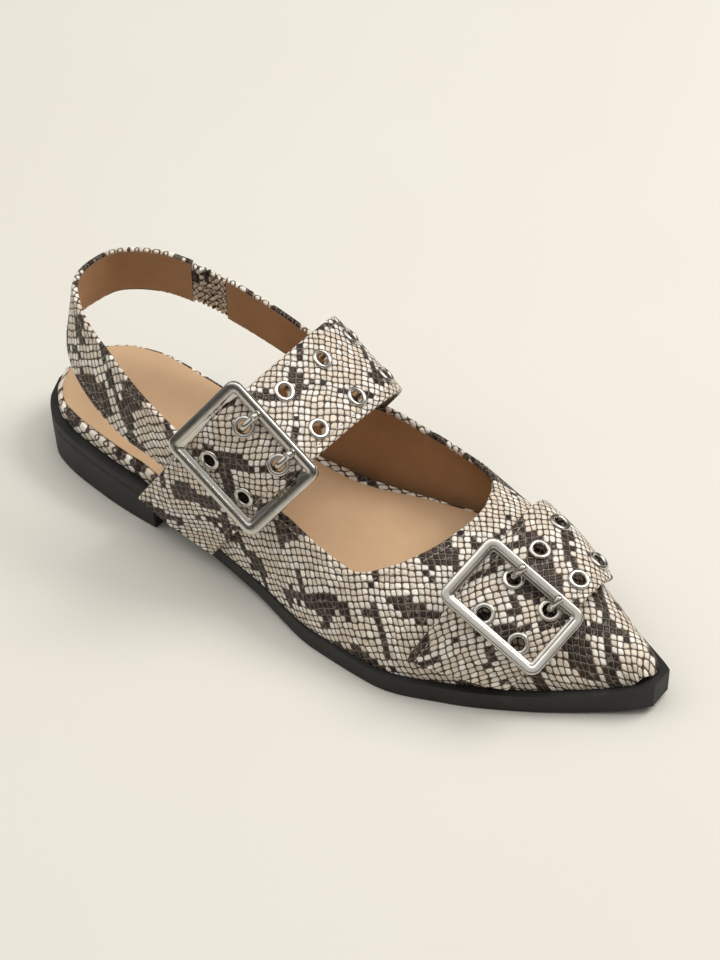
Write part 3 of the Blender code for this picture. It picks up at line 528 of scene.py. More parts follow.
snakeLook = {
    "scaleLength": 0.0036, "scaleWidth": 0.0031, "netLength": 0.022, "netWidth": 0.019, "darkShare": 0.22,
    "light": colour(1.0, 0.96, 0.87), "beige": colour(0.90, 0.79, 0.655),
    "dark": colour(0.017, 0.010, 0.008), "line": colour(0.085, 0.055, 0.037),
    "relief": 0.00030,
}


def makeSnake(name, offset, turned=0.0, changes=None):
    # offset moves the print on the hide so that no two pieces repeat it
    look = {**snakeLook, **(changes or {})}
    material, n, shader = newMaterial(name)
    sheet = n.add("ShaderNodeUVMap", uv_map="leather")
    place = n.add("ShaderNodeMapping")
    place.inputs["Location"].default_value = (*offset, 0.0)
    place.inputs["Rotation"].default_value = (0.0, 0.0, math.radians(turned))
    n.link(sheet.outputs[0], place.inputs["Vector"])
    skin = n.add("ShaderNodeGroup", node_tree=snakeSkin)
    n.link(place.outputs[0], skin.inputs["Vector"])
    for key, value in look.items():
        label = "".join(" " + letter if letter.isupper() else letter for letter in key).title()
        if label in skin.inputs:
            skin.inputs[label].default_value = value
    n.link(skin.outputs["Color"], shader.inputs["Base Color"])
    n.link(skin.outputs["Roughness"], shader.inputs["Roughness"])
    shader.inputs["Specular IOR Level"].default_value = 0.26
    shader.inputs["Coat Weight"].default_value = 0.03
    shader.inputs["Coat Roughness"].default_value = 0.35
    addBump(n, shader, skin.outputs["Height"], look["relief"])
    return material


def makeLeather(name, base, deep, poreScale, relief, roughness):
    material, n, shader = newMaterial(name)
    where = n.add("ShaderNodeTexCoord")
    grain = n.add("ShaderNodeGroup", node_tree=leatherGrain)
    n.link(where.outputs["Object"], grain.inputs["Vector"])
    grain.inputs["Pore Scale"].default_value = poreScale
    n.link(n.mix(n.step(grain.outputs["Mottle"], 0.30, 0.72), deep, base), shader.inputs["Base Color"])
    rough = n.plus(roughness - 0.05, n.times(grain.outputs["Mottle"], 0.12))
    n.link(rough, shader.inputs["Roughness"])
    shader.inputs["Specular IOR Level"].default_value = 0.35
    addBump(n, shader, grain.outputs["Height"], relief)
    return material


def makeRubber(name):
    material, n, shader = newMaterial(name)
    where = n.add("ShaderNodeTexCoord")
    dust = n.noise(where.outputs["Object"], 70.0, 5.0, 0.65)
    speck = n.noise(where.outputs["Object"], 1400.0, 2.0, 0.6)
    n.link(n.mix(n.step(dust, 0.45, 0.8), colour(0.018, 0.018, 0.017), colour(0.040, 0.038, 0.034)),
           shader.inputs["Base Color"])
    n.link(n.plus(0.50, n.times(dust, 0.22)), shader.inputs["Roughness"])
    shader.inputs["Specular IOR Level"].default_value = 0.38
    addBump(n, shader, speck, 0.00006)
    return material


def makeNickel(name, base, roughness):
    material, n, shader = newMaterial(name)
    where = n.add("ShaderNodeTexCoord")
    wear = n.add("ShaderNodeGroup", node_tree=fineScratches)
    n.link(where.outputs["Object"], wear.inputs["Vector"])
    smear = n.step(wear.outputs["Smear"], 0.35, 0.75)
    n.link(n.mix(smear, base, darker(base, 0.86, 0.85, 0.83)), shader.inputs["Base Color"])
    n.link(n.plus(roughness, n.times(smear, 0.07)), shader.inputs["Roughness"])
    shader.inputs["Metallic"].default_value = 1.0
    addBump(n, shader, wear.outputs["Height"], 0.000006)
    return material


def makeThread(name, base):
    material, n, shader = newMaterial(name)
    where = n.add("ShaderNodeTexCoord")
    ply = n.noise(where.outputs["Object"], 2600.0, 2.0, 0.5)
    n.link(n.mix(ply, base, darker(base, 0.55, 0.52, 0.48)), shader.inputs["Base Color"])
    n.link(n.plus(0.60, n.times(ply, 0.25)), shader.inputs["Roughness"])
    addBump(n, shader, ply, 0.00005)
    return material


upperSnake = makeSnake("upperSnake", (0.013, 0.021), 8.0)
instepSnake = makeSnake("instepSnake", (0.311, 0.127), 0.0,
                        {"light": colour(0.97, 0.93, 0.87), "darkShare": 0.16})
toeSnake = makeSnake("toeSnake", (0.517, 0.233), 0.0, {"darkShare": 0.17})
slingSnake = makeSnake("slingSnake", (0.731, 0.341), 0.0)
bedSnake = makeSnake("bedSnake", (0.919, 0.457), 0.0, {"scaleLength": 0.0050, "scaleWidth": 0.0040})
leathers = {  # two colours, scale of the pores, relief and roughness
    "tanLining": (colour(0.455, 0.255, 0.125), colour(0.385, 0.210, 0.100), 900.0, 0.00006, 0.58),
    "tanSock": (colour(0.675, 0.455, 0.270), colour(0.620, 0.410, 0.240), 1200.0, 0.00003, 0.50),
    # near-black leather for the backing: painted shade seen through the first pair of eyelets
    "paintedShadeLeather": (colour(0.080, 0.050, 0.032), colour(0.055, 0.034, 0.022), 900.0, 0.00006, 0.65),
}
lining, sockLeather, paintedShadeLeather = [makeLeather(name, *look) for name, look in leathers.items()]
rubber = makeRubber("blackRubber")
nickel = makeNickel("nickel", colour(0.62, 0.595, 0.55), 0.16)
paleThread = makeThread("paleThread", colour(0.62, 0.55, 0.45))
print("materials made")

# sole, heel, footbed and sock

soleLook = {"stations": 84, "bevel": 0.0008, "heelLength": 0.0715, "heelTaper": 0.0012}
bedLook = {
    "thick": 0.0061, "inset": 0.0020, "clear": 0.0013, "round": 0.0014, "toeInset": 0.0045, "end": 0.930,
    "sockThick": 0.0008, "sockInset": 0.0022, "cushion": 0.0004, "stations": 90,
    "waistInset": 0.0032, "waistAt": 0.46, "waistReach": 0.08,  # the sock is narrower in the waist
    # inset and height up the side of the bed, and insets on top of it
    "side": ((0.0003, 0.0), (0.0, 0.0006), (0.0, 0.0030)), "onTop": (0.0022, 0.0080),
}


def easedShares(count):
    # shares from 0 to 1, closer together at both ends
    return [0.5 - 0.5 * math.cos(math.pi * i / count) for i in range(count + 1)]


def loftSides(name, shares, levelPairs, material, bevel):
    # a solid between the sole's two sides, from (inset, height) pairs at a share
    loops = []
    for at in shares:
        pairs = levelPairs(at)
        loop = []
        for side, order in (("lateral", pairs), ("medial", pairs[::-1])):
            for inset, z in order:
                loop.append(Vector((along(at), edgePoint(at, side, inset)[1], z)))
        loops.append(loop)
    flat = [[(p.x, p.y) for p in loop] for loop in loops]
    piece = wrapLoops(name, loops, flat, [0] * len(loops[0]), [material])
    edge = piece.modifiers.new("edge", "BEVEL")
    edge.width = bevel
    edge.segments = 3
    edge.limit_method = "ANGLE"
    edge.angle_limit = math.radians(40)
    return piece


outsole = loftSides("outsole", easedShares(soleLook["stations"]),
                    lambda at: [(0.0, soleBottom(at)), (0.0, soleTop(at))], rubber, soleLook["bevel"])
dress(outsole, ["outsole"])
heelEnd = soleLook["heelLength"] / shoe["length"]
heel = loftSides("heelBlock", [heelEnd * (i / 30) ** 1.6 for i in range(31)],
                 lambda at: [(soleLook["heelTaper"], 0.0), (0.0, soleBottom(at) - gap)],
                 rubber, soleLook["bevel"])
dress(heel, ["heel"])


def bedInset(at):
    toe = max(0.0, at / bedLook["end"] - 0.7) / 0.3
    inside = rimAt(at) + shoe["wall"] + bedLook["clear"]
    return max(bedLook["inset"], inside) + bedLook["toeInset"] * toe * toe


def sockInset(at, side):
    inset = bedInset(at) + bedLook["sockInset"]
    if side == "medial":
        fromWaist = (at - bedLook["waistAt"]) / bedLook["waistReach"]
        inset += bedLook["waistInset"] * math.exp(-fromWaist ** 2)
    return inset


def makeFootbed():
    loops, uvs = [], []
    corner = bedLook["round"]
    for share in easedShares(bedLook["stations"]):
        at = share * bedLook["end"]
        loop, uv = [], []
        for side in ("lateral", "medial"):
            sign = -1 if side == "lateral" else 1
            pairs = [*bedLook["side"], (0.0, bedLook["thick"] - corner)]
            for k in range(1, 5):
                turn = math.pi / 2 * k / 4
                drop = corner * (1 - math.sin(turn))
                pairs.append((corner * (1 - math.cos(turn)), bedLook["thick"] - drop))
            pairs += [(corner + inset, bedLook["thick"]) for inset in bedLook["onTop"]]
            if side == "medial":
                pairs.reverse()
            for inset, height in pairs:
                x, y = edgePoint(at, side, bedInset(at) + inset)
                loop.append(Vector((x, y, floorUnder(x) + gap + height)))
                uv.append((x, sign * (0.05 + height - inset)))
        loops.append(loop)
        uvs.append(uv)
    # the flat end at the back takes its print from across the shoe
    uvs[0] = [(0.3 + point.y, point.z) for point in loops[0]]
    return wrapLoops("footbed", loops, uvs, [0] * len(loops[0]), [bedSnake])


def makeSock():
    loops, uvs = [], []
    for share in easedShares(bedLook["stations"]):
        at = share * bedLook["end"]
        x = edgePoint(at, "lateral", bedInset(at) + bedLook["sockInset"])[0]
        low = floorUnder(x) + bedLook["thick"] + 2 * gap
        yLateral = edgePoint(at, "lateral", sockInset(at, "lateral"))[1]
        yMedial = edgePoint(at, "medial", sockInset(at, "medial"))[1]
        edge = low + bedLook["sockThick"] / 2
        rows = [(yLateral, low), (yLateral, edge)]
        for k in range(13):
            swell = bedLook["cushion"] * (math.sin(math.pi * k / 12) ** 0.5 - 0.5)
            y = yLateral + (yMedial - yLateral) * (0.02 + 0.96 * k / 12)
            rows.append((y, low + bedLook["sockThick"] + swell))
        rows += [(yMedial, edge), (yMedial, low)]
        loops.append([Vector((x, y, z)) for y, z in rows])
        uvs.append([(x, y) for y, z in rows])
    return wrapLoops("sock", loops, uvs, [0] * len(loops[0]), [sockLeather])


dress(makeFootbed(), ["footbed"])
dress(makeSock(), ["sock"])
print("sole, heel, footbed and sock done")

# upper: one lined shell, its fan lines running from the sole to the topline

fans = columns("foot footTurn top topTurn", [
    (0.272, 0.00, 0.272, 0.030), (0.320, 0.00, 0.320, 0.060), (0.380, 0.00, 0.380, 0.123),
    (0.435, 0.00, 0.435, 0.164), (0.490, 0.00, 0.489, 0.190), (0.570, 0.00, 0.563, 0.205),
    (0.655, 0.00, 0.618, 0.2155), (0.730, 0.00, 0.653, 0.275), (0.800, 0.00, 0.673, 0.325),
    (0.870, 0.00, 0.690, 0.385), (0.935, 0.00, 0.699, 0.440), (0.985, 0.00, 0.702, 0.485),
    (1.000, 0.50, 0.701, 0.530), (0.985, 1.00, 0.694, 0.580), (0.920, 1.00, 0.684, 0.640),
    (0.840, 1.00, 0.667, 0.695), (0.755, 1.00, 0.643, 0.730), (0.670, 1.00, 0.599, 0.778),
    (0.590, 1.00, 0.551, 0.796), (0.507, 1.00, 0.500, 0.797), (0.456, 1.00, 0.456, 0.822),
    (0.404, 1.00, 0.404, 0.879), (0.353, 1.00, 0.353, 0.943), (0.309, 1.00, 0.309, 0.975),
])
upperLook = {
    "between": 8, "steps": 34, "stitchIn": 0.0019,
    "foldRise": 0.42, "foldLean": 0.35, "shoulder": 0.75, "foldPrint": (0.0006, 0.0012, 0.0018, 0.0024),
}


def fanEnds(position):
    foot = min(spline(fans["foot"], position), 1.0)
    footTurn = min(max(spline(fans["footTurn"], position), 0.0), 1.0)
    return foot, footTurn, spline(fans["top"], position), spline(fans["topTurn"], position)


def fanAt(position, share):
    foot, footTurn, top, topTurn = fanEnds(position)
    return foot + (top - foot) * share, footTurn + (topTurn - footTurn) * share


girthStations, girthTurns = 48, 48
lastStart = lastForm["at"][0]
girthTable = []
for stationIndex in range(girthStations + 1):
    stationAt = lastStart + (1 - lastStart) * stationIndex / girthStations
    ring = [onLast(stationAt, k / girthTurns) for k in range(girthTurns + 1)]
    lengths = [0.0]
    for first, second in zip(ring, ring[1:]):
        lengths.append(lengths[-1] + math.hypot(second.y - first.y, second.z - first.z))
    girthTable.append([length - lengths[girthTurns // 2] for length in lengths])


def hideUv(at, turn):
    # place on the flat hide: along the shoe and round it from the ridge
    row = min(max((at - lastStart) / (1 - lastStart), 0.0), 1.0) * girthStations
    column = min(max(turn, 0.0), 1.0) * girthTurns
    i, k = min(int(row), girthStations - 1), min(int(column), girthTurns - 1)
    a, b = row - i, column - k
    low = girthTable[i][k] * (1 - b) + girthTable[i][k + 1] * b
    high = girthTable[i + 1][k] * (1 - b) + girthTable[i + 1][k + 1] * b
    return along(at), low * (1 - a) + high * a


def makeUpper():
    loops, uvs = [], []
    steps = upperLook["steps"]
    total = (len(fans["foot"]) - 1) * upperLook["between"]
    shares = [(k / steps) ** 1.05 for k in range(steps + 1)]
    for i in range(total + 1):
        position = i / upperLook["between"]
        outer = [fanAt(position, share) for share in shares]
        outside = [onLast(at, turn) for at, turn in outer]
        inside = [onLast(at, turn, shoe["wall"]) for at, turn in outer]
        uv = [hideUv(at, turn) for at, turn in outer]
        top, under = outside[-1], inside[-1]
        rise = (outside[-1] - outside[-2]).normalized() * shoe["wall"] * upperLook["foldRise"]
        middle = (top + under) / 2
        shoulders = [end.lerp(middle, upperLook["foldLean"]) + rise * upperLook["shoulder"]
                     for end in (top, under)]
        roundOff = [shoulders[0], middle + rise, shoulders[1]]
        grow = (uv[-1][0] - uv[-2][0], uv[-1][1] - uv[-2][1])
        size = math.hypot(*grow) or 1.0

        def onward(place, distance):
            return place[0] + grow[0] / size * distance, place[1] + grow[1] / size * distance

        loops.append(outside + roundOff + inside[::-1])
        *overFold, beyond = upperLook["foldPrint"]
        turnedOver = [onward(uv[-1], distance) for distance in overFold]
        uvs.append(uv + turnedOver + [onward(place, beyond) for place in uv[::-1]])
    count = len(loops[0])
    slots = [0 if i < steps + 5 else 1 for i in range(count)]
    return wrapLoops("upper", loops, uvs, slots, [upperSnake, lining])


upper = dress(makeUpper(), ["upper"])
print("upper done")

# straps: each has a face function giving a point from its place along the strap,
# the share of the way over it and the lift off its middle

instepLook = {
    "width": 0.0348, "thick": 0.0026, "tilt": math.radians(33.5), "plane": 0.0643,
    "span": 0.4004 * shoe["ball"], "rise": 0.1280, "hemDrop": 0.0012, "spread": 0.0180, "metalShift": 0.0013,
    "frame": (0.0460, 0.0385, 0.0046), "shortBar": 0.0056, "frameSlide": 0.0005,
}
instepLine = columns("out up flare", [
    (-1.014, 0.250, 0.0), (-1.014, 0.430, 0.0), (-1.014, 0.640, 0.0), (-1.008, 0.825, 0.0),
    (-0.828, 0.972, 0.0), (-0.283, 1.000, 0.0), (0.319, 1.000, 0.020), (0.885, 0.955, 0.060),
    (1.170, 0.835, 0.085), (1.030, 0.665, 0.085), (0.860, 0.500, 0.085), (0.800, 0.300, 0.085),
])
instepKnots = (3, 4, 5, 6, 7, 8, 9)  # places of the eyelet pairs


def instepPoint(position, across):
    flare = spline(instepLine["flare"], position) * (across + instepLook["width"] / 2)
    wide = instepLook["plane"] + across + flare
    up = spline(instepLine["up"], position) * instepLook["rise"]
    x = wide * math.cos(instepLook["tilt"]) + up * math.sin(instepLook["tilt"]) - shoe["setback"]
    z = up * math.cos(instepLook["tilt"]) - wide * math.sin(instepLook["tilt"])
    return Vector((x, spline(instepLine["out"], position) * instepLook["span"], z))


def instepSurface(position, across):
    point = instepPoint(position, across)
    if point.z < 1.5 * shoe["vampHeight"]:
        side = "lateral" if point.y < 0 else "medial"
        reach = sideReach(point.x, point.z, side) + snug + instepLook["thick"] / 2
        point.y = math.copysign(max(abs(point.y), reach), point.y)
    return point


def instepFace(position, share, lift):
    wide = (share - 0.5) * instepLook["width"]
    step = 0.02
    alongBand = instepSurface(position + step, wide) - instepSurface(position - step, wide)
    overBand = instepPoint(position, wide + step) - instepPoint(position, wide - step)
    return instepSurface(position, wide) + overBand.cross(alongBand).normalized() * lift


def hemPosition(across, start, stop):
    for _ in range(22):
        middle = (start + stop) / 2
        point = instepPoint(middle, across)
        if point.z < floorUnder(point.x) - instepLook["hemDrop"]:
            start = middle
        else:
            stop = middle
    return stop


toeLook = {
    "thick": 0.0024, "lift": 0.0042, "metalShift": -0.0023, "width": 0.0350, "rowsPerKnot": 9,
    "frame": (0.0440, 0.0292, 0.0041), "shortBar": 0.0044,  # width, length and bars of the frame
}
toeLine = columns("rear rearTurn front frontTurn lift", [
    (0.725, 0.085, 0.850, 0.030, 0.10), (0.736, 0.16, 0.866, 0.13, 0.35), (0.748, 0.25, 0.876, 0.24, 0.90),
    (0.756, 0.350, 0.882, 0.350, 1.00), (0.757, 0.45, 0.885, 0.45, 1.00), (0.752, 0.55, 0.886, 0.55, 1.00),
    (0.747, 0.660, 0.884, 0.660, 0.80), (0.738, 0.77, 0.876, 0.78, 0.40), (0.722, 0.88, 0.862, 0.89, 0.15),
    (0.704, 0.975, 0.846, 0.975, 0.10),
])
toeHoles = [
    (2.19, 0.337), (1.81, 0.755), (3.27, 0.347), (3.02, 0.798), (4.33, 0.360), (4.43, 0.820),
    (5.65, 0.320), (5.95, 0.800), (8.25, 0.230), (7.80, 0.810),
]


def toeFace(position, share, lift):
    rear, front = spline(toeLine["rear"], position), spline(toeLine["front"], position)
    rearTurn, frontTurn = spline(toeLine["rearTurn"], position), spline(toeLine["frontTurn"], position)
    at, turn = rear + (front - rear) * share, rearTurn + (frontTurn - rearTurn) * share
    stand = snug + toeLook["lift"] * spline(toeLine["lift"], position) + toeLook["thick"] / 2 + lift
    return onLast(at, turn) + lastNormal(at, turn) * stand


strapEdge = {
    "corner": 0.34, "stitchIn": 0.0019, "channel": 0.00020, "channelWidth": 0.00042,
    "skive": 0.00025, "skiveWidth": 0.0012,
    "stops": (0.0, 0.0005, 0.0010, 0.0014, 0.0019, 0.0024, 0.0030, 0.0042, 0.0065, 0.0100, 0.0140),
}


def strapSection(width, thick, stitchIn=strapEdge["stitchIn"]):
    # (place, lift, extra, lining) round a strap: skived edges, a shallow stitch channel
    # and rounded corners; extra is how far the hide has gone round the edge
    corner = thick * strapEdge["corner"]
    half = width / 2

    def top(distance):
        channel = strapEdge["channel"] * math.exp(-((distance - stitchIn) / strapEdge["channelWidth"]) ** 2)
        return thick / 2 - channel - strapEdge["skive"] * math.exp(-distance / strapEdge["skiveWidth"])

    left = [-half + corner + stop for stop in strapEdge["stops"] if corner + stop < half]
    places = left + [0.0] + [-a for a in reversed(left)]
    section = [(a, top(half - corner - abs(a)), 0.0, 0) for a in places]
    edge = top(0.0) - thick / 2
    rim = []
    for k in range(1, 4):
        turn = math.pi / 2 * (1 - k / 3)
        lift = thick / 2 + edge - corner * (1 - math.sin(turn))
        rim.append((half - corner + corner * math.cos(turn), lift, corner * k / 3, 0))
    for k in range(0, 4):
        turn = -math.pi / 2 * k / 3
        lift = -thick / 2 + corner * (1 + math.sin(turn))
        rim.append((half - corner + corner * math.cos(turn), lift, thick * 0.5 + corner * k / 3, 0))
    inner = [half * (1 - k / 7) - corner * (1 - 2 * k / 14) for k in range(1, 14)]
    section += rim + [(a, -thick / 2, thick, 1) for a in inner if abs(a) < half - corner * 1.1]
    section += [(-a, lift, extra, 0) for a, lift, extra, _ in reversed(rim)]
    slots = []
    for i, item in enumerate(section):
        after = section[(i + 1) % len(section)]
        slots.append(1 if item[3] or after[3] else 0)
    return section, slots


def wrapStrap(name, face, width, section, slots, rowsAt, materials):
    # rowsAt gives the list of places along the strap for a share over it
    columnsOfPlaces = {share: rowsAt(share) for share in {0.5 + item[0] / width for item in section}}
    rows = len(next(iter(columnsOfPlaces.values())))
    loops, uvs = [], []
    run = 0.0
    before = None
    for r in range(rows):
        middle = face(rowsAt(0.5)[r], 0.5, 0.0)
        run += (middle - before).length if before else 0.0
        before = middle
        loop, uv = [], []
        for across, lift, extra, _ in section:
            share = 0.5 + across / width
            loop.append(face(columnsOfPlaces[share][r], share, lift))
            uv.append((run, across + math.copysign(extra, across)))
        loops.append(loop)
        uvs.append(uv)
    return wrapLoops(name, loops, uvs, slots, materials)


def holeFrame(face, place, share):
    centre = face(place, share, 0.0)
    axis = (face(place, share, 0.001) - centre).normalized()
    side = face(place + 0.05, share, 0.0) - centre
    side = (side - axis * side.dot(axis)).normalized()
    return centre, axis, side, axis.cross(side)


eyeletLook = {
    "radius": 0.0041, "hole": 0.0023, "tube": 0.0030, "flange": 0.0006, "sides": 36,
    "sink": 0.0002, "lip": 0.00012, "undercut": 0.0001,  # how the flange sits on the leather
    "punchDepth": 1.2, "punchTurn": 0.37, "probeAlong": 0.07, "probeOver": 0.03,
}


def cutHoles(strap, face, thick, holes):
    bm = bmesh.new()
    reach, depth = eyeletLook["tube"] + gap / 2, thick * eyeletLook["punchDepth"]
    for place, share in holes:
        centre, axis, side, other = holeFrame(face, place, share)
        outs = spokes(side, other, eyeletLook["sides"], eyeletLook["punchTurn"])
        rings = [[bm.verts.new(centre + out * reach + axis * height) for out in outs]
                 for height in (-depth, depth)]
        joinRings(bm, rings)
        bm.faces.new(rings[0])
        bm.faces.new(rings[1][::-1])
    combine(strap, newObject("punch", bm, []), "DIFFERENCE")


def flangeRise(face, thick, place, share, centre, axis):
    rise = 0.0
    for i in range(-4, 5):
        for k in range(-4, 5):
            spot = place + i * eyeletLook["probeAlong"], share + k * eyeletLook["probeOver"]
            point = face(*spot, thick / 2) - centre
            height = point.dot(axis)
            if (point - axis * height).length <= eyeletLook["radius"] + gap:
                rise = max(rise, height - thick / 2)
    return rise


def makeEyelets(label, face, thick, holes):
    hole, tube, radius, sink = [eyeletLook[key] for key in ("hole", "tube", "radius", "sink")]
    half = thick / 2
    for number, (place, share) in enumerate(holes, 1):
        centre, axis, side, other = holeFrame(face, place, share)
        seat = half + gap + flangeRise(face, thick, place, share, centre, axis) - sink
        crown = eyeletLook["flange"] + sink
        middle, reach = (hole + radius) / 2, (radius - hole) / 2
        outer = radius - eyeletLook["undercut"]
        profile = [(hole, -half), (tube, -half), (tube, seat - sink), (outer, seat)]
        for k in range(9):
            turn = math.pi * k / 8
            height = seat + eyeletLook["lip"] + crown * math.sin(turn) ** 0.8
            profile.append((middle + reach * math.cos(turn), height))
        bm = bmesh.new()
        joinRings(bm, [[bm.verts.new(centre + out * r + axis * h) for r, h in profile]
                       for out in spokes(side, other, eyeletLook["sides"])], closed=True)
        eyelet = newObject(f"{label}Eyelet{number:02d}", bm, [nickel], 50)
        dress(eyelet, [f"{label}_eyelet_{number:02d}"])


def buckleAxes(face, thick, holes, shift, slide, length, bar):
    # where the frame lies: origin, width, length and outward directions, and the
    # heights of its underside and of its centre bar
    shares = evenly(0, 1, 8)
    rearOne, frontOne, rearTwo, frontTwo = [face(place, share, 0.0) for place, share in holes[:4]]
    wide = (frontOne + frontTwo - rearOne - rearTwo).normalized()
    origin = (rearOne + frontOne + rearTwo + frontTwo) / 4 + wide * shift
    longWay = rearTwo + frontTwo - rearOne - frontOne
    longWay = (longWay - wide * longWay.dot(wide)).normalized()
    origin += longWay * slide
    middle = sum(place for place, _ in holes[:4]) / 4
    spread = [middle + (i / 80 - 0.5) * 4.0 for i in range(81)]
    top = [face(place, share, thick / 2) - origin for place in spread for share in shares]
    for place, share in holes[:6]:
        centre, axis, side, other = holeFrame(face, place, share)
        crown = centre - origin + axis * (thick / 2 + gap + eyeletLook["flange"])
        top += [crown + out * eyeletLook["radius"] for out in spokes(side, other, 16)]
    for _ in range(6):
        out = wide.cross(longWay)
        rests = []
        for sign in (-1, 1):
            near, far = length / 2 - bar - gap, length / 2 + gap
            rests.append(max(p.dot(out) for p in top if near <= sign * p.dot(longWay) <= far))
        longWay = (longWay + out * (rests[1] - rests[0]) / (length - bar)).normalized()
    out = wide.cross(longWay)
    under = [face(place, share, -thick / 2) - origin for place in spread for share in shares]
    low = min(p.dot(out) for p in under if abs(p.dot(longWay)) <= 2 * buckleLook["barRadius"])
    return origin, wide, longWay, out, max(rests) + snug, low - gap - buckleLook["barRadius"]


buckleLook = {"thick": 0.0025, "corner": 0.0040, "barRadius": 0.0010, "cornerSteps": 10, "barSides": 16}
# inset over the bar's width and height over its thickness, round the frame's section
buckleProfile = [
    (0.00, 0.22), (0.00, 0.66), (0.03, 0.82), (0.09, 0.94), (0.18, 1.00), (0.40, 1.00), (0.58, 0.99),
    (0.66, 0.93), (0.70, 0.78), (0.82, 0.66), (0.95, 0.58), (1.00, 0.46), (1.00, 0.16), (0.94, 0.03),
    (0.82, 0.00), (0.14, 0.00), (0.03, 0.08),
]


def roundedLoop(width, length, radius, steps):
    loop = []
    for quarter in range(4):
        signX = 1 if quarter in (0, 3) else -1
        signY = 1 if quarter in (0, 1) else -1
        for i in range(steps + 1):
            angle = math.pi / 2 * (quarter + i / steps)
            loop.append((signX * (width / 2 - radius) + radius * math.cos(angle),
                         signY * (length / 2 - radius) + radius * math.sin(angle)))
    return loop


def makeFrame(label, axes, size, shortBar):
    width, length, bar = size
    origin, wide, longWay, out, base, barHeight = axes
    bm = bmesh.new()
    rings = []
    for insetShare, heightShare in buckleProfile:
        radius = max(buckleLook["corner"] - insetShare * bar * 0.85, 0.0010)
        inner = (width - 2 * insetShare * shortBar, length - 2 * insetShare * bar)
        loop = roundedLoop(*inner, radius, buckleLook["cornerSteps"])
        height = base + heightShare * buckleLook["thick"]
        rings.append([bm.verts.new(origin + wide * x + longWay * y + out * height) for x, y in loop])
    joinRings(bm, rings, closed=True)
    buckle = newObject(f"{label}Buckle", bm, [nickel], 50)
    reach, core, turnIn = width / 2 - bar / 2, base + buckleLook["thick"] / 2, 0.0012
    corners = [(-reach, core), (-reach, barHeight + turnIn),
               (-reach + turnIn * 0.3, barHeight + turnIn * 0.3), (-reach + turnIn, barHeight)]
    if core < barHeight + turnIn:
        corners = [corners[0], corners[3]]
    corners += [(-x, z) for x, z in reversed(corners)]
    bm = bmesh.new()
    path = [origin + wide * x + out * z for x, z in corners]
    addTube(bm, path, [buckleLook["barRadius"]] * len(path), buckleLook["barSides"])
    combine(buckle, newObject("bar", bm, [nickel], 50), "UNION")
    dress(buckle, [f"{label}_buckle"])


prongLook = {
    "radius": 0.00125, "collar": 0.0005, "collarAt": 3.35, "collarReach": 0.16, "taper": 0.75, "sides": 14,
    "steps": 8,
}


def makeProngs(label, face, thick, holes, axes, size):
    origin, wide, longWay, out, base, barHeight = axes
    _, length, bar = size
    radius = prongLook["radius"]
    for number, (place, share) in enumerate(holes[2:4], 1):
        centre, axis, _, _ = holeFrame(face, place, share)
        side = (centre - origin).dot(wide)
        rest = base + buckleLook["thick"] + radius + gap / 2
        knots = [
            origin + wide * side + longWay * (buckleLook["barRadius"] + radius + gap) + out * barHeight,
            centre - axis * (thick / 2 + radius + snug),
            centre + axis * (thick / 2 + gap + eyeletLook["flange"] + radius + gap),
            origin + wide * side + longWay * (length / 2 - bar * 0.9) + out * (rest + radius / 2),
            origin + wide * side + longWay * (length / 2 - bar * 0.35) + out * rest,
        ]
        path, radii = [], []
        total = (len(knots) - 1) * prongLook["steps"]
        for i in range(total + 1):
            position = i / prongLook["steps"]
            path.append(Vector([spline([knot[k] for knot in knots], position) for k in range(3)]))
            fromCollar = (position - prongLook["collarAt"]) / prongLook["collarReach"]
            tip = 1.0 - prongLook["taper"] * max(0.0, (i - total + 2) / 2) ** 2
            radii.append(radius * tip + prongLook["collar"] * math.exp(-fromCollar ** 2))
        bm = bmesh.new()
        addTube(bm, path, radii, prongLook["sides"])
        prong = newObject(f"{label}Prong{number}", bm, [nickel], 60)
        dress(prong, [f"{label}_prong_{number}"])


def makeBuckle(label, face, look, holes, shift, slide):
    _, length, bar = look["frame"]
    axes = buckleAxes(face, look["thick"], holes, shift, slide, length, bar)
    makeFrame(label, axes, look["frame"], look["shortBar"])
    makeProngs(label, face, look["thick"], holes, axes, look["frame"])


# wide strap over the instep
legTop, legTopMedial = 3.0, 8.0


def instepRows(share):
    across = (share - 0.5) * instepLook["width"]
    last = len(instepLine["out"]) - 1
    first = hemPosition(across, 0.0, legTop)
    final = hemPosition(across, float(last), legTopMedial)
    legRows, crownRows = 22, 55
    rows = [first + (legTop - first) * i / legRows for i in range(legRows)]
    rows += [legTop + (legTopMedial - legTop) * i / crownRows for i in range(crownRows)]
    return rows + [legTopMedial + (final - legTopMedial) * i / legRows for i in range(legRows + 1)]


instepSection, instepSlots = strapSection(instepLook["width"], instepLook["thick"])
instepStrap = wrapStrap("instepStrap", instepFace, instepLook["width"], instepSection, instepSlots,
                        instepRows, [instepSnake, lining])
holeMiddle = 0.5 + instepLook["metalShift"] / instepLook["width"]
holeSpread = instepLook["spread"] / instepLook["width"] / 2
instepHoles = [(place, holeMiddle + side * holeSpread) for place in instepKnots for side in (-1, 1)]
cutHoles(instepStrap, instepFace, instepLook["thick"], instepHoles)
dress(instepStrap, ["instep_strap"])
makeEyelets("instep", instepFace, instepLook["thick"], instepHoles)

# the layer the buckle is sewn to, in near-black leather as painted shade seen through the first pair of
# eyelets
backLook = {"thick": 0.0010, "from": 2.62, "to": 3.30, "width": 0.86}
backWidth = instepLook["width"] * backLook["width"]
backSection, backSlots = strapSection(backWidth, backLook["thick"])
backLift = -(instepLook["thick"] + backLook["thick"]) / 2 - 2 * gap


def backFace(place, share, lift):
    return instepFace(place, 0.5 + (share - 0.5) * backLook["width"], lift + backLift)


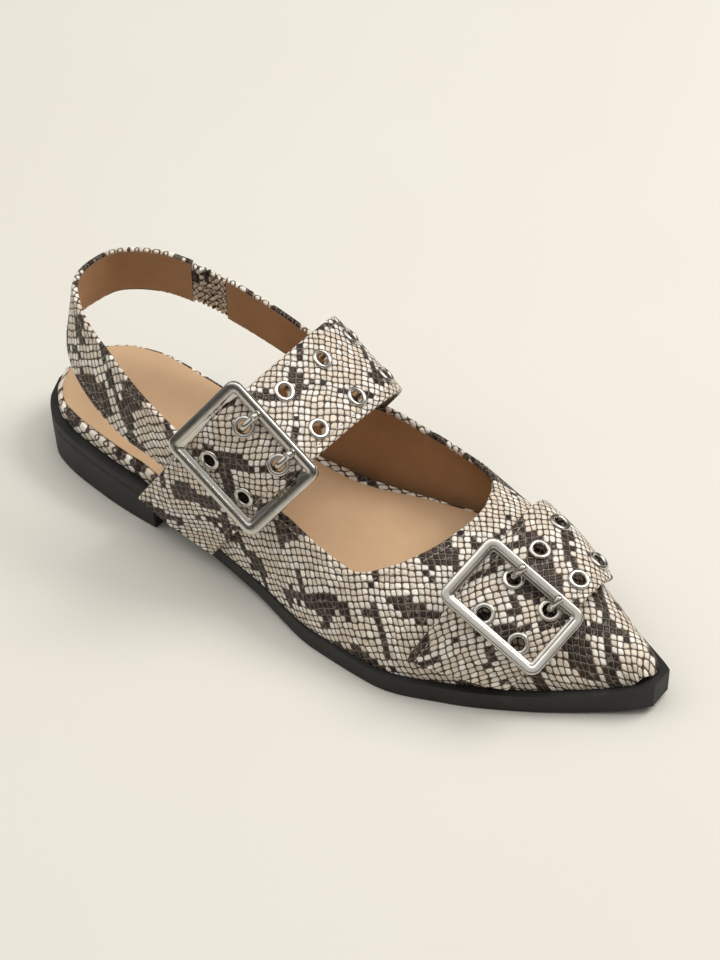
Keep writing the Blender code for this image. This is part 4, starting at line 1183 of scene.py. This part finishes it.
instepBacking = wrapStrap("instepBacking", backFace, backWidth, backSection, backSlots,
                          lambda share: evenly(backLook["from"], backLook["to"], 12),
                          [paintedShadeLeather, paintedShadeLeather])
dress(instepBacking, [])
makeBuckle("instep", instepFace, instepLook, instepHoles, -instepLook["metalShift"], instepLook["frameSlide"])
print("instep strap and buckle done")

# smaller strap over the toes
toeSection, toeSlots = strapSection(toeLook["width"], toeLook["thick"])
toeEnd = len(toeLine["rear"]) - 1
toeStrap = wrapStrap("toeStrap", toeFace, toeLook["width"], toeSection, toeSlots,
                     lambda share: evenly(0, toeEnd, toeEnd * toeLook["rowsPerKnot"]), [toeSnake, lining])
cutHoles(toeStrap, toeFace, toeLook["thick"], toeHoles)
dress(toeStrap, ["toe_strap"])
makeEyelets("toe", toeFace, toeLook["thick"], toeHoles)
makeBuckle("toe", toeFace, toeLook, toeHoles, toeLook["metalShift"], 0.0)
print("toe strap and buckle done")

# sling round the heel, with a gathered elastic on its medial side
slingLook = {
    "width": 0.0195, "thick": 0.0024, "elasticWidth": 0.0170, "elasticThick": 0.0022, "start": 0.750,
    "end": 0.815, "butt": 0.0004, "run": 0.220, "centre": 0.200, "ripples": 7, "ripple": 0.00055,
    "stitchIn": 0.0017,
}
slingLine = columns("at out up width lean", [
    (0.335, -0.3745, 0.334, 1.25, 0), (0.275, -0.356, 0.376, 1.28, 0.04), (0.217, -0.335, 0.408, 1.3, 0.2),
    (0.165, -0.295, 0.438, 1.28, 0.26), (0.114, -0.239, 0.473, 1.2, 0.28), (0.076, -0.16, 0.504, 1.1, 0.26),
    (0.053, -0.060, 0.523, 1, 0.12), (0.052, 0.060, 0.531, 1, 0), (0.070, 0.172, 0.541, 1, 0),
    (0.121, 0.267, 0.541, 1, 0), (0.184, 0.311, 0.527, 1, 0), (0.246, 0.334, 0.500, 1, 0),
    (0.313, 0.362, 0.453, 1, 0), (0.372, 0.387, 0.395, 1, 0),
])
slingEnd = len(slingLine["at"]) - 1


def slingSurface(position, share, width):
    at, out, up = [spline(slingLine[key], position) for key in ("at", "out", "up")]
    point = Vector((along(at), out * shoe["ball"], 0.0))
    drop = (share - 0.5) * spline(slingLine["width"], position) * width
    away = (point - Vector((along(slingLook["centre"]), 0.0, 0.0))).normalized()
    point += away * drop * spline(slingLine["lean"], position)
    point.z = up * instepLook["rise"] - drop
    return point


def slingFace(width, ripple=0.0):
    # the sling's face function for a band of a width, rippled where it is gathered
    def face(position, share, lift):
        step = 0.02
        alongBand = slingSurface(position + step, share, width)
        alongBand -= slingSurface(position - step, share, width)
        downBand = slingSurface(position, 1.0, width) - slingSurface(position, 0.0, width)
        normal = alongBand.cross(downBand).normalized()
        point = slingSurface(position, share, width) + normal * lift
        if ripple:
            within = (position / slingEnd - slingLook["start"]) / (slingLook["end"] - slingLook["start"])
            swing = math.sin(2 * math.pi * slingLook["ripples"] * within + 0.8 * math.sin(5 * share))
            point += normal * ripple * swing * math.sin(math.pi * min(max(within, 0.0), 1.0)) ** 0.4
        return point
    return face


def makeSlingPiece(name, node, start, stop, rows, gathered=False):
    width = slingLook["elasticWidth" if gathered else "width"]
    thick = slingLook["elasticThick" if gathered else "thick"]
    section, slots = strapSection(width, thick, slingLook["stitchIn"])
    face = slingFace(width, slingLook["ripple"] if gathered else 0.0)
    places = [slingEnd * share for share in evenly(start, stop, rows)]
    materials = [slingSnake, slingSnake if gathered else lining]
    piece = wrapStrap(name, face, width, section, slots, lambda share: places, materials)
    return dress(piece, [node])


slingButt = slingLook["butt"] / slingLook["run"]
makeSlingPiece("slingStrap", "sling_strap", 0.0, slingLook["start"] - slingButt, 110)
makeSlingPiece("slingElastic", "sling_elastic", slingLook["start"], slingLook["end"], 90, gathered=True)
makeSlingPiece("slingFront", "sling_front", slingLook["end"] + slingButt, 1.0, 40)
print("sling done")

# stitching: short threads that dip into the leather at both ends

stitchLook = {
    "long": 0.0017, "pitch": 0.0024, "first": 0.15, "radius": 0.00017, "endShare": 0.7, "lift": 0.00006,
    "sides": 6,
    # height of the thread at shares of its length
    "form": ((0.0, -0.00022), (0.18, 0.0), (0.5, 0.00008), (0.82, 0.0), (1.0, -0.00022)),
}


def makeStitches(name, lines):
    # lines are lists of (point, normal) pairs close together along each seam
    bm = bmesh.new()
    for line in lines:
        runs = [0.0]
        for (first, _), (second, _) in zip(line, line[1:]):
            runs.append(runs[-1] + (second - first).length)

        def sample(distance):
            i = 0
            while i < len(runs) - 2 and runs[i + 1] < distance:
                i += 1
            share = (distance - runs[i]) / max(runs[i + 1] - runs[i], 1e-9)
            point, normal = [first.lerp(second, share) for first, second in zip(line[i], line[i + 1])]
            return point, normal.normalized()

        count = int(runs[-1] / stitchLook["pitch"])
        for k in range(count):
            start = (k + stitchLook["first"]) * stitchLook["pitch"]
            path, radii = [], []
            for step, height in stitchLook["form"]:
                point, normal = sample(start + stitchLook["long"] * step)
                path.append(point + normal * (stitchLook["lift"] + height))
                radii.append(stitchLook["radius"] * (stitchLook["endShare"] if step in (0.0, 1.0) else 1.0))
            addTube(bm, path, radii, stitchLook["sides"])
    dress(newObject(name, bm, [paleThread], 60), [])


def faceLine(face, spots, lift):
    # points and normals at (place, share) spots of a strap's outer face
    line = []
    for place, share in spots:
        point = face(place, share, lift)
        line.append((point, (face(place, share, lift + 0.001) - point).normalized()))
    return line


channelDrop = 0.00022  # the seams lie this far below a strap's face


def edgeLines(face, look, placesAt):
    # a seam along both edges of a strap, at the bottom of its stitch channels
    stitchIn = look.get("stitchIn", strapEdge["stitchIn"])
    inset = (stitchIn + look["thick"] * strapEdge["corner"]) / look["width"]
    return [faceLine(face, [(place, share) for place in placesAt(share)], look["thick"] / 2 - channelDrop)
            for share in (inset, 1 - inset)]


instepLines = edgeLines(instepFace, instepLook, instepRows)
# the seam over the leg's end turns up at one side
hemPlace = hemPosition(0.0, 0.0, legTop)
tailPlace, tailTurn, tailTop = hemPlace + 0.40, 0.66, hemPlace + 0.62
tailLift = instepLook["thick"] / 2 - channelDrop / 2
tailAcross = [(tailPlace, share) for share in evenly(0.08, tailTurn, 40)]
tailUp = [(place, tailTurn) for place in evenly(tailPlace, tailTop, 12)]
instepLines += [faceLine(instepFace, spots, tailLift) for spots in (tailAcross, tailUp)]
makeStitches("instepStitches", instepLines)
makeStitches("toeStitches", edgeLines(toeFace, toeLook, lambda share: evenly(0, toeEnd, 160)))
slingLines = []
slingBand = slingFace(slingLook["width"])
for start, stop in ((0.0, slingLook["start"]), (slingLook["end"] + 0.004, 1.0)):
    slingPlaces = [slingEnd * share for share in evenly(start, stop, 120)]
    slingLines += edgeLines(slingBand, slingLook, lambda share: slingPlaces)
makeStitches("slingStitches", slingLines)
topLine = []
for position in evenly(0, len(fans["foot"]) - 1, 459):
    foot, footTurn, top, topTurn = fanEnds(position)
    reach = (onLast(foot, footTurn) - onLast(top, topTurn)).length
    at, turn = fanAt(position, 1 - min(upperLook["stitchIn"] / max(reach, 0.004), 0.6))
    topLine.append((onLast(at, turn), lastNormal(at, turn)))
makeStitches("toplineStitches", [topLine])
print("stitching done")

# studio: pale floor, soft light from the right and above, and the photograph's camera

studio = {
    "floor": colour(0.815, 0.79, 0.722), "floorReach": 3.5, "world": 0.56,
    "cameraAt": (0.5022072, -0.5113404, 0.6454581), "forward": (-0.4553795, 0.6241188, -0.6349057),
    "up": (-0.3715753, 0.5148238, 0.7725855), "lens": 91.5, "aimAcross": -0.01747, "aimUp": -0.06685,
}


def makeFloor():
    bm = bmesh.new()
    bmesh.ops.create_grid(bm, x_segments=24, y_segments=24, size=studio["floorReach"],
                          matrix=Matrix.Translation((0.0, 0.0, -0.0002)))
    material, n, shader = newMaterial("paleFloor")
    where = n.add("ShaderNodeTexCoord")
    cloud = n.noise(where.outputs["Object"], 5.0, 3.0, 0.5)
    base = studio["floor"]
    n.link(n.mix(n.step(cloud, 0.3, 0.7), base, darker(base, 0.985, 0.98, 0.97)), shader.inputs["Base Color"])
    shader.inputs["Roughness"].default_value = 0.75
    shader.inputs["Specular IOR Level"].default_value = 0.2
    newObject("floor", bm, [material])


lamps = {  # place, target, size, power and colour
    "keyLight": ((0.75, 0.85, 1.25), (0.08, 0.0, 0.02), 0.8, 12.5, (1.0, 0.975, 0.94)),
    "fillLight": ((-0.9, -0.6, 1.1), (0.08, 0.0, 0.02), 1.4, 3.3, (0.97, 0.98, 1.0)),
    "topLight": ((0.1, 0.1, 1.6), (0.08, 0.0, 0.0), 1.2, 4.5, (1.0, 0.99, 0.97)),
}


def makeLight(name, place, target, size, energy, tint):
    light = bpy.data.lights.new(name, "AREA")
    light.shape = "DISK"
    light.size = size
    light.energy = energy
    light.color = tint
    lamp = bpy.data.objects.new(name, light)
    bpy.context.collection.objects.link(lamp)
    lamp.location = place
    lamp.rotation_euler = (Vector(target) - Vector(place)).to_track_quat("-Z", "Y").to_euler()


def makeStudio():
    makeFloor()
    world = bpy.data.worlds.new("studioWorld")
    bpy.context.scene.world = world
    world.use_nodes = True
    n = Nodes(world.node_tree)
    background = world.node_tree.nodes["Background"]
    where = n.add("ShaderNodeTexCoord")
    height = n.split(where.outputs["Generated"])[2]
    low = n.mix(n.step(height, 0.05, 0.45), colour(0.10, 0.095, 0.09), colour(0.42, 0.41, 0.39))
    n.link(n.mix(n.step(height, 0.45, 0.85), low, colour(1.35, 1.33, 1.29)), background.inputs["Color"])
    background.inputs["Strength"].default_value = studio["world"]
    for name, look in lamps.items():
        makeLight(name, *look)
    camera = bpy.data.cameras.new("photoCamera")
    camera.lens = studio["lens"]
    camera.sensor_width = 36.0
    camera.clip_start = 0.01
    holder = bpy.data.objects.new("photoCamera", camera)
    bpy.context.collection.objects.link(holder)
    forward, up = Vector(studio["forward"]), Vector(studio["up"])
    right = forward.cross(up).normalized()
    up = right.cross(forward).normalized()
    # the photo shows two shoes, so the camera turns on its own spot to the one built
    forward = (forward + right * studio["aimAcross"] + up * studio["aimUp"]).normalized()
    right = forward.cross(up).normalized()
    up = right.cross(forward).normalized()
    turned = Matrix((right, up, -forward)).transposed().to_4x4()
    holder.matrix_world = Matrix.Translation(studio["cameraAt"]) @ turned
    bpy.context.scene.camera = holder
    bpy.context.scene.view_settings.view_transform = "Standard"


makeStudio()
print("studio done")
